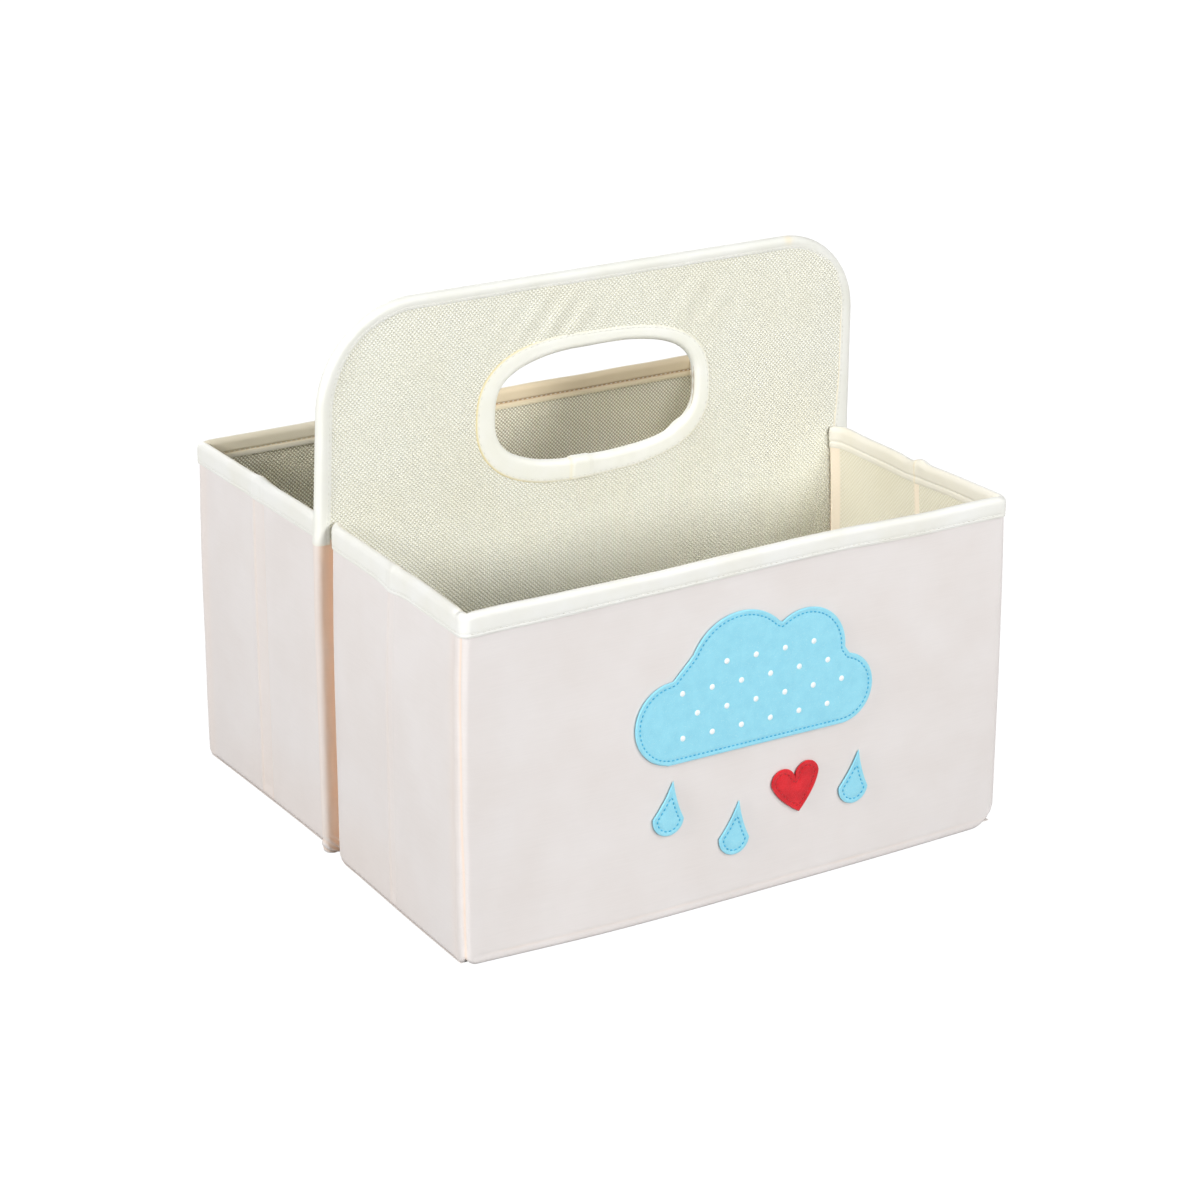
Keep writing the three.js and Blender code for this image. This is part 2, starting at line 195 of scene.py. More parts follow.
def weaveGroup():
    # plain weave: threads over and under each other, with slubs along the weft
    group, t, given, out = makeGroup(
        "plainWeave",
        [("Place", "Vector", None), ("Pitch", "Float", 0.5), ("Slub", "Float", 0.4)],
        [("Height", "Float"), ("Mask", "Float")],
    )
    apart = t.add("SeparateXYZ", {0: given.outputs["Place"]})
    turns = t.sum("DIVIDE", 2 * pi, given.outputs["Pitch"])
    warp = t.sum("SINE", t.sum("MULTIPLY", apart.outputs[0], turns))
    weft = t.sum("SINE", t.sum("MULTIPLY", apart.outputs[1], turns))
    cross = t.sum("MULTIPLY_ADD", t.sum("MULTIPLY", warp, weft), 0.5, 0.5)
    squeezed = t.add("Mapping", {"Vector": given.outputs["Place"], "Scale": (0.05, 1.6, 1)})
    slub = t.add("TexNoise", {"Vector": squeezed.outputs[0], "Scale": 1, "Detail": 2, "Roughness": 0.6})
    lift = t.sum("MULTIPLY", slub.outputs[0], given.outputs["Slub"])
    t.join(t.sum("ADD", cross, lift), out.inputs["Height"])
    t.join(slub.outputs[0], out.inputs["Mask"])
    return group


def hatchGroup():
    # embossed non-woven: small pillows between crossing diagonal lines
    group, t, given, out = makeGroup(
        "crossHatch",
        [("Place", "Vector", None), ("Pitch", "Float", 1.0)],
        [("Height", "Float")],
    )
    bent = t.add("TexNoise", {"Vector": given.outputs["Place"], "Scale": 0.35, "Detail": 1})
    apart = t.add("SeparateXYZ", {0: given.outputs["Place"]})
    drift = t.sum("MULTIPLY", bent.outputs[0], 0.6)
    across = t.sum("ADD", apart.outputs[0], drift)
    rising = t.sum("ADD", across, apart.outputs[1])
    falling = t.sum("SUBTRACT", across, apart.outputs[1])
    turns = t.sum("DIVIDE", pi / sqrt(2), given.outputs["Pitch"])
    first = t.sum("ABSOLUTE", t.sum("SINE", t.sum("MULTIPLY", rising, turns)))
    second = t.sum("ABSOLUTE", t.sum("SINE", t.sum("MULTIPLY", falling, turns)))
    t.join(t.sum("MULTIPLY", first, second), out.inputs["Height"])
    return group


def mottleGroup():
    # soft uneven tone, as in cloth that was handled and pressed
    group, t, given, out = makeGroup(
        "softMottle",
        [
            ("Place", "Vector", None),
            ("Size", "Float", 30.0),
            ("Light", "Color", white),
            ("Deep", "Color", white),
        ],
        [("Color", "Color")],
    )
    scale = t.sum("DIVIDE", 1000.0, given.outputs["Size"])
    noiseValues = {"Vector": given.outputs["Place"], "Scale": scale, "Detail": 3, "Roughness": 0.55}
    broad = t.add("TexNoise", noiseValues)
    spread = t.add("MapRange", {0: broad.outputs[0], 1: 0.34, 2: 0.66})
    t.join(t.blend(spread.outputs[0], given.outputs["Light"], given.outputs["Deep"]), out.inputs["Color"])
    return group


weave, hatch, mottle = weaveGroup(), hatchGroup(), mottleGroup()


def startFinish(name, v):
    material = bpy.data.materials.new(name)
    material.use_nodes = True
    shader = material.node_tree.nodes["Principled BSDF"]
    shader.inputs["Roughness"].default_value = v["roughness"]
    shader.inputs["Specular IOR Level"].default_value = 0.3
    if v["sheen"]:
        shader.inputs["Sheen Weight"].default_value = v["sheen"]
        shader.inputs["Sheen Roughness"].default_value = 0.5
    return material, Tree(material.node_tree), shader


def endFinish(t, shader, colour, height, v):
    t.join(colour, shader.inputs["Base Color"])
    bumpNode = t.add("Bump", {"Height": height, "Strength": v["bump"], "Distance": v["relief"] * mm})
    t.join(bumpNode.outputs[0], shader.inputs["Normal"])


def mottled(t, v):
    values = {"Place": t.place(), "Size": v["mottle"], "Light": v["light"], "Deep": v["deep"]}
    return t.add("Group", values, node_tree=mottle).outputs["Color"]


clothLook = {
    "light": tone(217, 212, 210),
    "deep": tone(214, 208, 205),
    # the last two tones are where the tint leads: real marks and painted shade, then deeper painted shade
    "tinted": tone(236, 205, 178),
    "paintedShadeTone": tone(200, 158, 126),
    "mottle": 34,
    "pitch": 0.55,
    "slub": 0.9,
    "streak": 0.975,
    "roughness": 0.78,
    "sheen": 0.15,
    "bump": 0.35,
    "relief": 0.06,
}
tapeLook = {
    "light": tone(223, 223, 219),
    "deep": tone(219, 218, 210),
    # the last two tones are where the tint leads: real marks and painted shade, then deeper painted shade
    "tinted": tone(226, 214, 186),
    "paintedShadeTone": tone(172, 142, 108),
    "mottle": 22,
    "pitch": 0.8,
    "slub": 1.2,
    "streak": None,
    "roughness": 0.7,
    "sheen": 0.1,
    "bump": 0.4,
    "relief": 0.09,
}
dividerTapeLook = dict(tapeLook, light=tone(222, 222, 217), deep=tone(218, 218, 210))
# a paler copy of the binding tape for the hand hole's ring: painted light
handleTapeLook = dict(tapeLook, light=tone(233, 233, 227), deep=tone(229, 229, 219), tinted=tone(218, 203, 150))


def wovenFinish(name, v):
    # the tint attribute takes the ground to the second tone at 0.5 and on to the third at 1; the second tone
    # serves as real stains and marks in some places and as painted shade in others, and the third is painted
    # shade
    material, t, shader = startFinish(name, v)
    threads = t.pattern(weave, {"Pitch": v["pitch"], "Slub": v["slub"]})
    tint = t.tint()
    half = t.sum("MULTIPLY", tint, 2.0, clamp=True)
    rest = t.sum("MULTIPLY_ADD", tint, 2.0, -1.0, clamp=True)
    colour = t.blend(rest, t.blend(half, mottled(t, v), v["tinted"]), v["paintedShadeTone"])
    if v["streak"]:
        streak = t.add("MapRange", {0: threads.outputs["Mask"], 1: 0.3, 2: 0.7, 3: v["streak"], 4: 1.0})
        colour = t.blend(1.0, colour, streak.outputs[0], "MULTIPLY")
    endFinish(t, shader, colour, threads.outputs["Height"], v)
    return material


liningLook = {
    "light": tone(242, 243, 236),
    "deep": tone(240, 239, 228),
    "dent": tone(214, 211, 186),
    "tinted": tone(242, 226, 205),
    "mottle": 46,
    "pitch": 1.5,
    "power": 0.38,
    "roughness": 0.82,
    "sheen": 0,
    "bump": 1.0,
    "relief": 0.5,
}
# a darker, yellower copy of the lining for the front bin's walls: painted shade
frontLiningLook = dict(
    liningLook, light=tone(228, 225, 211), deep=tone(223, 219, 202), dent=tone(206, 199, 172), bump=0.3)
# a copy of the lining for the rear bin's walls with much darker dents: painted shade in the embossing
rearLiningLook = dict(
    liningLook, light=tone(252, 250, 236), deep=tone(250, 247, 228), dent=tone(128, 108, 60))


def liningFinish(name, v):
    # the embossing fades and the stain comes in as the tint attribute rises
    material, t, shader = startFinish(name, v)
    pillows = t.pattern(hatch, {"Pitch": v["pitch"]}).outputs["Height"]
    plain = t.tint()
    lines = t.sum("MAXIMUM", t.sum("POWER", pillows, v["power"]), plain)
    hatched = t.blend(lines, v["dent"], mottled(t, v))
    stained = t.blend(plain, hatched, v["tinted"])
    endFinish(t, shader, stained, t.sum("MAXIMUM", pillows, plain), v)
    return material


feltLook = {
    "mottle": 5,
    "grain": {"Scale": 1500.0, "Detail": 3, "Roughness": 0.7, "Distortion": 1.5},
    "roughness": 0.9,
    "sheen": 0.35,
    "bump": 0.6,
    "relief": 0.35,
}
threadLook = {
    "mottle": 3,
    "grain": {"Scale": 3000.0, "Detail": 1},
    "roughness": 0.55,
    "sheen": 0.2,
    "bump": 0.4,
    "relief": 0.05,
}
boardLook = {
    "mottle": 18,
    "grain": {"Scale": 900.0, "Detail": 3},
    "roughness": 0.9,
    "sheen": 0,
    "bump": 0.4,
    "relief": 0.1,
}


def grainFinish(name, look, light, deep, fibre=None):
    # felt, thread, print and board: a fine grain, with paler fibres where there are any
    v = dict(look, light=light, deep=deep)
    material, t, shader = startFinish(name, v)
    grain = t.add("TexNoise", dict(v["grain"], Vector=t.place()))
    colour = mottled(t, v)
    if fibre:
        strands = t.add("MapRange", {0: grain.outputs[0], 1: 0.56, 2: 0.72, 3: 0.0, 4: 0.55})
        colour = t.blend(strands.outputs[0], colour, fibre)
    endFinish(t, shader, colour, grain.outputs[0], v)
    return material


finishes = {
    "cloth": wovenFinish("outerCloth", clothLook),
    "lining": liningFinish("ivoryLining", liningLook),
    "frontLining": liningFinish("frontLining", frontLiningLook),
    "rearLining": liningFinish("rearLining", rearLiningLook),
    "tape": wovenFinish("bindingTape", tapeLook),
    "dividerTape": wovenFinish("dividerTape", dividerTapeLook),
    "handleTape": wovenFinish("handleTape", handleTapeLook),
}
for name, look, *tones in (
    ("greyBoard", boardLook, (206, 196, 178), (190, 178, 158)),
    ("blueFelt", feltLook, (144, 210, 228), (136, 204, 224), (194, 228, 236)),
    ("redFelt", feltLook, (213, 24, 37), (190, 13, 28), (230, 78, 86)),
    ("whiteThread", threadLook, (220, 220, 214), (206, 204, 194)),
    ("blueThread", threadLook, (58, 172, 211), (39, 157, 202)),
    ("redThread", threadLook, (190, 8, 24), (165, 4, 18)),
    ("whitePrint", threadLook, (238, 240, 240), (226, 234, 236)),
):
    finishes[name] = grainFinish(name, look, *[tone(*t) for t in tones])
print("finishes:", len(finishes))


# Shared shaping

def clamp(value, low=0.0, high=1.0):
    return max(low, min(high, value))


def ease(start, end, value):
    share = clamp((value - start) / (end - start))
    return share * share * (3 - 2 * share)


def hump(centre, width, value):
    return exp(-(((value - centre) / width) ** 2))


def wander(a, b, size, seed):
    # smooth unevenness about 0, with humps of this size
    return noise.noise(Vector((a / size, b / size, seed)))


def rungs(*spans):
    # positions along a line, from (start, end, step) spans that follow each other
    found = [spans[0][0]]
    for start, end, step in spans:
        count = max(1, round((end - start) / step))
        found += [start + (end - start) * (i + 1) / count for i in range(count)]
    return found


def roundIn(distance, reach):
    # a quarter circle from 0 at the edge to 1 at reach
    share = clamp(distance / reach)
    return sqrt(max(0.0, 1 - (1 - share) ** 2))


def meshObject(name, bm, finish):
    mesh = bpy.data.meshes.new(name)
    for face in bm.faces:
        face.smooth = True
    bm.to_mesh(mesh)
    bm.free()
    piece = bpy.data.objects.new(name, mesh)
    bpy.context.scene.collection.objects.link(piece)
    mesh.materials.append(finishes[finish])
    return piece


def clothSheet(name, across, up, place, finish, thickness=0.5, inward=False):
    # a grid laid by place(across, up), which gives a point, its place on the flat cloth and its tint
    bm = bmesh.new()
    flat = bm.loops.layers.uv.new("weave")
    tint = bm.verts.layers.float.new("tint")
    wide, tall = len(across) - 1, len(up) - 1
    bmesh.ops.create_grid(bm, x_segments=wide, y_segments=tall, size=0.5)
    spots = {}
    for vert in bm.verts:
        s = across[round((vert.co.x + 0.5) * wide)]
        t = up[round((vert.co.y + 0.5) * tall)]
        point, spots[vert], vert[tint] = place(s, t)
        vert.co = Vector(point) * mm
    for face in bm.faces:
        for loop in face.loops:
            loop[flat].uv = spots[loop.vert]
    if inward:
        bmesh.ops.reverse_faces(bm, faces=bm.faces[:])
    bmesh.ops.remove_doubles(bm, verts=bm.verts[:], dist=0.005 * mm)
    for edge in bm.edges:
        edge.smooth = not edge.is_boundary  # so that two sheets that meet shade as one
    piece = meshObject(name, bm, finish)
    shell = piece.modifiers.new("thickness", "SOLIDIFY")
    shell.thickness = thickness * mm
    shell.offset = -1
    return piece


def stitchRow(name, spots, size, finish="whiteThread"):
    # one small thread lump per spot, each (centre, along, outward)
    bm = bmesh.new()
    long, wide, high = size
    for centre, along, outward in spots:
        x = Vector(along).normalized()
        z = Vector(outward).normalized()
        y = z.cross(x).normalized()
        z = x.cross(y)
        turn = Matrix((x * long / 2, y * wide / 2, z * high / 2)).transposed().to_4x4()
        turn.translation = Vector(centre)
        bmesh.ops.create_icosphere(bm, subdivisions=1, radius=1.0, matrix=Matrix.Scale(mm, 4) @ turn)
    return meshObject(name, bm, finish)


def rowSpots(place, positions, t, outwardOf):
    # stitch spots on a placed surface at height t of its cloth
    lift, spots = 0.02, []
    for s in positions:
        here = Vector(place(s, t)[0])
        along = Vector(place(s + 0.4, t)[0]) - Vector(place(s - 0.4, t)[0])
        outward = Vector(outwardOf(s))
        spots.append((here + outward * lift, along, outward))
    return spots


def foldedTape(position, tape):
    # half a folded tape in section: distance from its crown, on either side, to (offset, depth below the crown)
    half, width, groove = tape["half"], tape["width"], tape["groove"]
    side = -1 if position < 0 else 1
    run = abs(position)
    quarter = half * pi / 2
    if run < quarter:
        out, down = half * sin(run / half), half * (1 - cos(run / half))
    else:
        out, down = half, half + run - quarter
    shoulder = half * 0.4
    if down > shoulder:
        puff = tape["swell"] * sin(pi * clamp((down - shoulder) / (groove - shoulder)))
        thinned = 0.3 * ease(width - 0.9, width, down)  # towards the cut edge
        out += puff - tape["depth"] * hump(groove, 0.6, down) - thinned
    return side * out, down


def tapeReach(tape):
    # from the crown to the edge, along the tape
    return tape["half"] * (pi / 2 - 1) + tape["width"]


# Bin walls: bin is -1 for the front bin and 1 for the rear one, and s runs round a bin from its left end

walls = {
    "side": 146.2,  # middle plane of a side wall
    "panel": 137.7,  # middle plane of an end panel, from the divider's
    "start": 3.3,  # a side wall's end, from the divider's middle plane
    "turn": 2.2,  # radius of the corners
    "half": 1.8,  # half the thickness
    "top": 170.0,
    "layerTop": 165.0,  # where cloth and lining end under the rim tape
    "hem": 8.0,
    "leafFoot": 0.9,  # a side wall stands this much off the ground
    "footLeft": 4.5,  # radii of a panel's lower corners
    "footRight": 12.0,
    "bow": 3.8,  # a panel's belly at its foot
    "frontBow": 1.6,  # and more of it on the front panel's left
    "rimRise": 1.6,  # of the front rim towards the corners
}
straight = walls["panel"] - walls["turn"] - walls["start"]
bend = walls["turn"] * pi / 2
runLength = 2 * (straight + bend) + 2 * (walls["side"] - walls["turn"])
cornerLeft = straight + bend / 2
cornerRight = runLength - cornerLeft
crease = 66.852
creaseLate = 3.0  # the front bin's right crease lies this much nearer to the front
creaseGap = {-1: 2.5, 1: 5.4}  # half the gap between a wall's two boards
borderCrease = crease - 2.9  # where the two pieces of a folding wall meet
borderCorner = cornerLeft - 10.8  # where a left wall meets the panel's piece
rightPivot = cornerRight + 6.5  # where the panel's piece meets a right wall


def isLeft(s):
    return s < runLength / 2


def fromEnd(s):
    return min(s, runLength - s)


def creaseAt(bin, left):
    return crease if left or bin > 0 else crease + creaseLate


def overFold(bin, s, gap, soft):
    # 1 over the gap between a wall's two boards and 0 over the boards
    w, fold = fromEnd(s), creaseAt(bin, isLeft(s))
    return ease(fold - gap - soft, fold - gap + 0.5, w) - ease(fold + gap - 0.5, fold + gap + soft, w)


def wallSpot(s):
    # x, distance from the divider and outward direction, at s mm round the bin from its left end
    if s > runLength / 2:
        x, n, dx, dn = wallSpot(runLength - s)
        return -x, n, -dx, dn
    if s <= straight:
        return -walls["side"], walls["start"] + s, -1.0, 0.0
    turn = walls["turn"]
    inner = walls["side"] - turn
    if s <= straight + bend:
        a = (s - straight) / turn
        return -inner - turn * cos(a), walls["panel"] - turn + turn * sin(a), -cos(a), sin(a)
    return s - straight - bend - inner, walls["panel"], 0.0, 1.0


sway = {  # how far a side wall stands off its plane; "in" is towards the inside
    "frontTopIn": 3.0,
    "frontTopOut": 2.1,
    "frontFootIn": 1.7,
    "frontFootOut": 2.5,
    "frontFootMore": 1.0,
    "rearTopIn": 2.6,
    "rearTopOut": 1.8,
    "rearFootIn": 2.0,
    "rearFootOut": 3.2,
    "creaseOut": 0.8,
    "rightTopIn": 0.5,
    "rightEndIn": 1.6,
    "rightFootIn": 1.3,
    "endIn": 2.6,
}


def wallSway(bin, right, w, z):
    # a side wall is drawn in by its rim tape and at the divider, and spreads towards its foot
    share = clamp(w / cornerLeft)
    if bin < 0:
        top = sway["frontTopOut"] * ease(0.5, 1, share) - sway["frontTopIn"]
        foot = sway["frontFootOut"] * ease(0, 16, w) + sway["frontFootMore"] * ease(16, 100, w)
        foot -= sway["frontFootIn"]
        if not right:
            top += sway["creaseOut"] * hump(crease, 15, w)
    else:
        top = sway["rearTopOut"] * share - sway["rearTopIn"]
        foot = sway["rearFootOut"] * share**1.5 - sway["rearFootIn"]
    if right:
        top -= sway["rightTopIn"] * ease(0.3, 1, share) + sway["rightEndIn"] * (1 - ease(0, 9, w))
        foot -= sway["rightFootIn"] * ease(0.1, 0.9, share)
    high = clamp((z - 75) / 95) ** 2  # the foot's line holds up to a height of 75
    return foot + (top - foot) * high - sway["endIn"] * (1 - ease(0, 7, w))


def panelBow(bin, x, z):
    bow = walls["bow"] * clamp(1 - (x / walls["side"]) ** 2) * clamp(1 - z / 165) ** 2
    if bin < 0:
        bow += walls["frontBow"] * hump(-70, 60, x) * clamp(1 - z / 120)
    return bow


def rimRise(bin, w, x):
    # the front bin's rim climbs towards the corners and waves along the panel
    rise = walls["rimRise"] * ease(58, 100, w) * ease(-70, 60, x)
    waves = 0.3 + 0.8 * hump(48, 52, x) - 0.8 * hump(92, 34, x)
    rise += ease(cornerLeft, cornerLeft + 20, w) * waves
    return rise if bin < 0 else 0.0


def wallPoint(bin, s, offset, z):
    x, n, dx, dn = wallSpot(s)
    x, n = x + dx * offset, n + dn * offset
    if offset < 0:  # inside a corner the two faces end at the line where they meet
        x = clamp(x, -walls["side"] - offset, walls["side"] + offset)
        n = min(n, walls["panel"] + offset)
    n += panelBow(bin, x, z) * clamp(n / walls["panel"])
    w = fromEnd(s)
    high = z * (1 + rimRise(bin, w, x) / walls["top"])
    return x * (1 + wallSway(bin, x > 0, w, z) / walls["side"]), middle + bin * n, high


def wallOutward(bin):
    def outward(s):
        _, _, dx, dn = wallSpot(s)
        return dx, bin * dn, 0
    return outward


def footRise(s):
    rise = 0.0
    for corner, radius in ((cornerLeft, walls["footLeft"]), (cornerRight, walls["footRight"])):
        away = abs(s - corner) + 0.12
        if away < radius:
            rise = radius - sqrt(radius**2 - (radius - away) ** 2)
    return walls["leafFoot"] * (1 - ease(cornerLeft - 9.4, cornerLeft - 1.4, fromEnd(s))) + rise


def clothRelief(bin, s, z):
    # how far the outer cloth stands off its plane, and its tint
    w, left, gap = fromEnd(s), isLeft(s), creaseGap[bin]
    fold = creaseAt(bin, left)
    between = overFold(bin, s, gap, 0.9)
    lift = 0.28 * wander(s, z * 0.6, 42, bin * 3.7) + 0.10 * wander(s, z * 0.5, 11, bin * 9.1)
    lift -= 0.55 * between
    lift += 0.16 * (hump(fold - gap - 1.2, 0.9, w) + hump(fold + gap + 1.2, 0.9, w))
    marks = 0.04 * between + 0.10 * hump(fold - gap, 0.7, w) + 0.07 * hump(fold + gap, 0.7, w)
    tint = (1.0 if bin > 0 else 0.35) * marks
    if left:  # the seam that closes the cloth stands up beside the corner
        seam = cornerLeft + 0.2 - 1.2 * z / 165 + 0.25 * wander(0, z, 31, 2.2)
        ridge = 0.40 * hump(seam - 2.6, 1.7, w) * (1 + 0.5 * wander(0, z, 6, 7.3))
        lift += ridge - 0.5 * hump(seam, 0.5, w)
        # painted shade: a thin line in the seam's groove, and a wide soft band 5 mm from the seam beyond its
        # ridge
        tint += 0.06 * hump(seam, 0.5, w) + 0.24 * hump(seam, 0.24, w) + 0.05 * hump(seam - 5, 4.0, w)
    # painted shade in the groove beside the divider's edge cover, strong on the left walls and slight on the
    # right
    besideDivider = (0.5 if left else 0.06) * (1 - ease(1.5, 5.5, w))
    nearFoot = 0.04 * (1 - ease(0, 46, z)) * (1 - ease(60, 125, w))
    tint += besideDivider + nearFoot
    if w > cornerLeft + 2.6:  # the stitched line above a panel's foot
        lift -= 0.3 * hump(4.3, 0.5, z)
        tint += 0.12 * hump(4.3, 0.45, z) * (0.6 + wander(s, 0, 25, 5))
    return lift, clamp(tint)


def clothPlace(bin):
    # t runs up the outer cloth, and below 0 it turns under the foot and up inside as the hem
    half, hem = walls["half"], walls["hem"]
    turn = pi * half

    def place(s, t):
        foot = footRise(s)
        full = walls["layerTop"] - half
        if t >= 0:
            z = foot + half + t * (full - foot) / full
            lift, tint = clothRelief(bin, s, z)
            offset = half + lift * ease(0, 6, t)
        elif t > -turn:
            offset, z = half * cos(-t / half), foot + half - half * sin(-t / half)
            tint = clothRelief(bin, s, z)[1]
        else:
            z = foot + half + (-t - turn) * max(0.02, hem - half - foot) / (hem - half)
            offset, tint = -half, 0.0
        offset *= roundIn(fromEnd(s), 3.2)
        return wallPoint(bin, s, offset, z), (s, t), tint
    return place


def liningPlace(bin):
    half = walls["half"]

    def place(s, t):
        w, gap = fromEnd(s), creaseGap[bin] * 0.8
        fold = creaseAt(bin, isLeft(s))
        low = max(walls["hem"] + 0.3, footRise(s) + half + 0.3)
        z = low + (walls["layerTop"] - low) * t / (walls["layerTop"] - walls["hem"])
        between = overFold(bin, s, gap, 0.7)
        dent = 0.45 * between - 0.3 * wander(s, z, 38, bin * 5.5) - 0.35 * hump(fold + gap + 1.0, 0.8, w)
        offset = (-half + max(-0.35, dent)) * roundIn(w, 2.4)
        tint = max(0.7 * between, 0.7 * (1 - ease(5.2, 6.2, w)))
        return wallPoint(bin, s, offset, z), (s, t), clamp(tint)
    return place


rimTape = {
    "half": 2.7,
    "width": 11.0,
    "groove": 9.3,
    "depth": 0.16,
    "swell": 0.06,
    "innerGroove": 7.6,
    "innerDepth": 0.5,
    "rightNarrow": 1.2,  # the front's tape narrows to the right
    "creaseWide": 1.1,  # and widens at the left crease
    "stitch": (1.8, 0.5, 0.26),
    "pitch": 2.9,
    "innerSeam": 3.4,  # from the inner edge to its stitches
}
rimReach = tapeReach(rimTape)


def rimNarrow(bin, s):
    if bin > 0:
        return 0.0
    wide = rimTape["creaseWide"] * hump(crease, 9, fromEnd(s)) if isLeft(s) else 0.0
    right = ease(cornerLeft + 30, cornerLeft + 95, s) * (1 - ease(cornerRight, cornerRight + 40, s))
    return rimTape["rightNarrow"] * right - wide


def rimCrown(bin, s, between):
    # the tape stands up over a fold and dips beside the corners
    w, left = fromEnd(s), isLeft(s)
    fold = creaseAt(bin, left)
    rise = 0.30 * wander(s, 0, 26, bin * 7.7)
    rise += (0.75 if bin > 0 or not left else 0.45) * between
    if bin < 0 and not left:
        rise += 1.2 * hump(fold + 3.5, 4.0, w) - 0.8 * hump(fold - 8, 6.0, w)
    rise -= 0.5 * hump(cornerLeft, 2.2 if left else 1.6, w)
    if bin < 0 and left:
        rise -= 0.9 * hump(cornerLeft - 4.5, 1.6, w)
    return rise


def rimTint(bin, s, inside, down, tape):
    w, groove = fromEnd(s), tape["groove"]
    tint = 0.15 * (1 - ease(0.3, 2.2, w))
    if not inside:
        return tint
    # painted shade on the rear panel's inner tape, deeper towards the right, with a deeper painted line at the
    # groove and less below it
    if bin > 0 and w > cornerLeft:
        shade = ease(cornerLeft + 60, cornerLeft + 150, s)
        return 0.36 + 0.3 * shade + 0.4 * hump(groove, 0.5, down) - 0.2 * ease(groove, tape["width"], down)
    # elsewhere inside, a light painted shade all along the tape, and a darker mark at the crease
    return max(tint, 0.4 * hump(creaseAt(bin, isLeft(s)), 1.1, w), 0.17)


def rimPlace(bin):
    # t runs over the rim from the tape's outer edge to its inner one
    def place(s, t):
        w, gap, inside = fromEnd(s), creaseGap[bin], t > 0
        fold = creaseAt(bin, isLeft(s))
        tape = dict(rimTape, width=rimTape["width"] + 0.35 * wander(s, t, 30, bin * 2.1))
        if inside:
            tape.update(groove=rimTape["innerGroove"], depth=rimTape["innerDepth"])
        else:
            narrow = rimNarrow(bin, s)
            tape.update(width=tape["width"] - narrow, groove=tape["groove"] - narrow)
            t *= 1 - narrow / rimReach
        out, down = foldedTape(t, tape)
        between = hump(fold, gap + 1.2, w)
        offset = -out
        swellOut = 0.35 * between + 0.12 * wander(s, t, 9, 4.4)
        if inside:
            offset += -0.5 * swellOut - 0.35 * hump(fold, 0.8, w)
        else:
            offset += swellOut
            offset -= 0.18 * (hump(fold - gap, 0.6, w) + hump(fold + gap, 0.6, w))
        offset *= roundIn(w, 2.6)
        near = clamp(1 - down / 10)
        z = walls["top"] - down - 1.2 * (1 - roundIn(w, 3.0)) + rimCrown(bin, s, between) * near
        return wallPoint(bin, s, offset, z), (s, t), clamp(rimTint(bin, s, inside, down, tape))
    return place


def rimStitches(name, bin, run):
    place, outward = rimPlace(bin), wallOutward(bin)

    def inwards(s):
        return [-c for c in outward(s)]

    positions = rungs((run[0] + 1.4, run[-1] - 1.4, rimTape["pitch"]))
    outer = -rimReach + rimTape["width"] - rimTape["groove"]
    spots = rowSpots(place, positions, outer, outward)
    spots += rowSpots(place, positions, rimReach - rimTape["innerSeam"], inwards)
    return stitchRow(name, spots, rimTape["stitch"])


def mirrored(positions):
    return [runLength - s for s in reversed(positions)]


# where the grids have their lines: close at folds and corners, wide on the flats
foldIn, foldOut = crease - 8.4, crease + 8.4
nearRun = rungs((0, 4, 0.5), (4, 10, 1.0), (10, foldIn, 2.4), (foldIn, borderCrease, 0.7))
farRun = rungs((borderCrease, foldOut, 0.45), (foldOut, crease + 46, 2.4), (crease + 46, borderCorner, 1.2))
panelRun = rungs(
    (borderCorner, cornerLeft + 3.2, 0.28),
    (cornerLeft + 3.2, cornerLeft + 10, 0.9),
    (cornerLeft + 10, cornerRight - 10, 2.3),
    (cornerRight - 10, cornerRight - 3, 0.9),
    (cornerRight - 3, cornerRight + 3.1, 0.3),
    (cornerRight + 3.1, rightPivot, 0.5),
)
rightFarRun = rungs(
    (rightPivot, cornerRight + 12, 0.9),
    (cornerRight + 12, runLength - crease - 8.4, 2.4),
    (runLength - crease - 8.4, runLength - borderCrease, 0.45),
)
hemTurn = walls["half"] * pi
clothRows = rungs((-hemTurn - 6, -hemTurn, 2.0), (-hemTurn, 0, 0.9))
clothRows += rungs((0, 7, 0.7), (7, 160, 2.6), (160, walls["layerTop"] - walls["half"], 1.0))[1:]
liningRows = rungs((0, walls["layerTop"] - walls["hem"], 3.2))
tapeRows = rungs(
    (-rimReach, -rimReach + 3.4, 0.34),
    (-rimReach + 3.4, -4.2, 0.8),
    (-4.2, 4.2, 0.7),
    (4.2, rimReach - 5.4, 0.8),
    (rimReach - 5.4, rimReach, 0.36),
)


def wallParts(bin):
    # name, run, the two bodies and where the cloth bends between them
    end = "front" if bin < 0 else "rear"
    side = walls["side"]

    def at(x, n):
        return Vector((x, middle + bin * n, walls["top"] / 2)) * mm

    return [
        ("LeftNear", nearRun, "divider", end + "_left_centre", at(-side, 3.3), at(-side, 9.9)),
        ("LeftFar", farRun, end + "_left_centre", end + "_left_end", at(-side, 67.55), at(-side, 72.75)),
        ("Panel", panelRun, end + "_left_end", end + "_panel", at(-side, 126.5), at(-side + 1.2, 133.5)),
        ("RightFar", rightFarRun, end + "_right_centre", end + "_right_end", at(side, 67.55), at(side, 72.75)),
        ("RightNear", mirrored(nearRun), "divider", end + "_right_centre", at(side, 3.3), at(side, 9.9)),
    ]


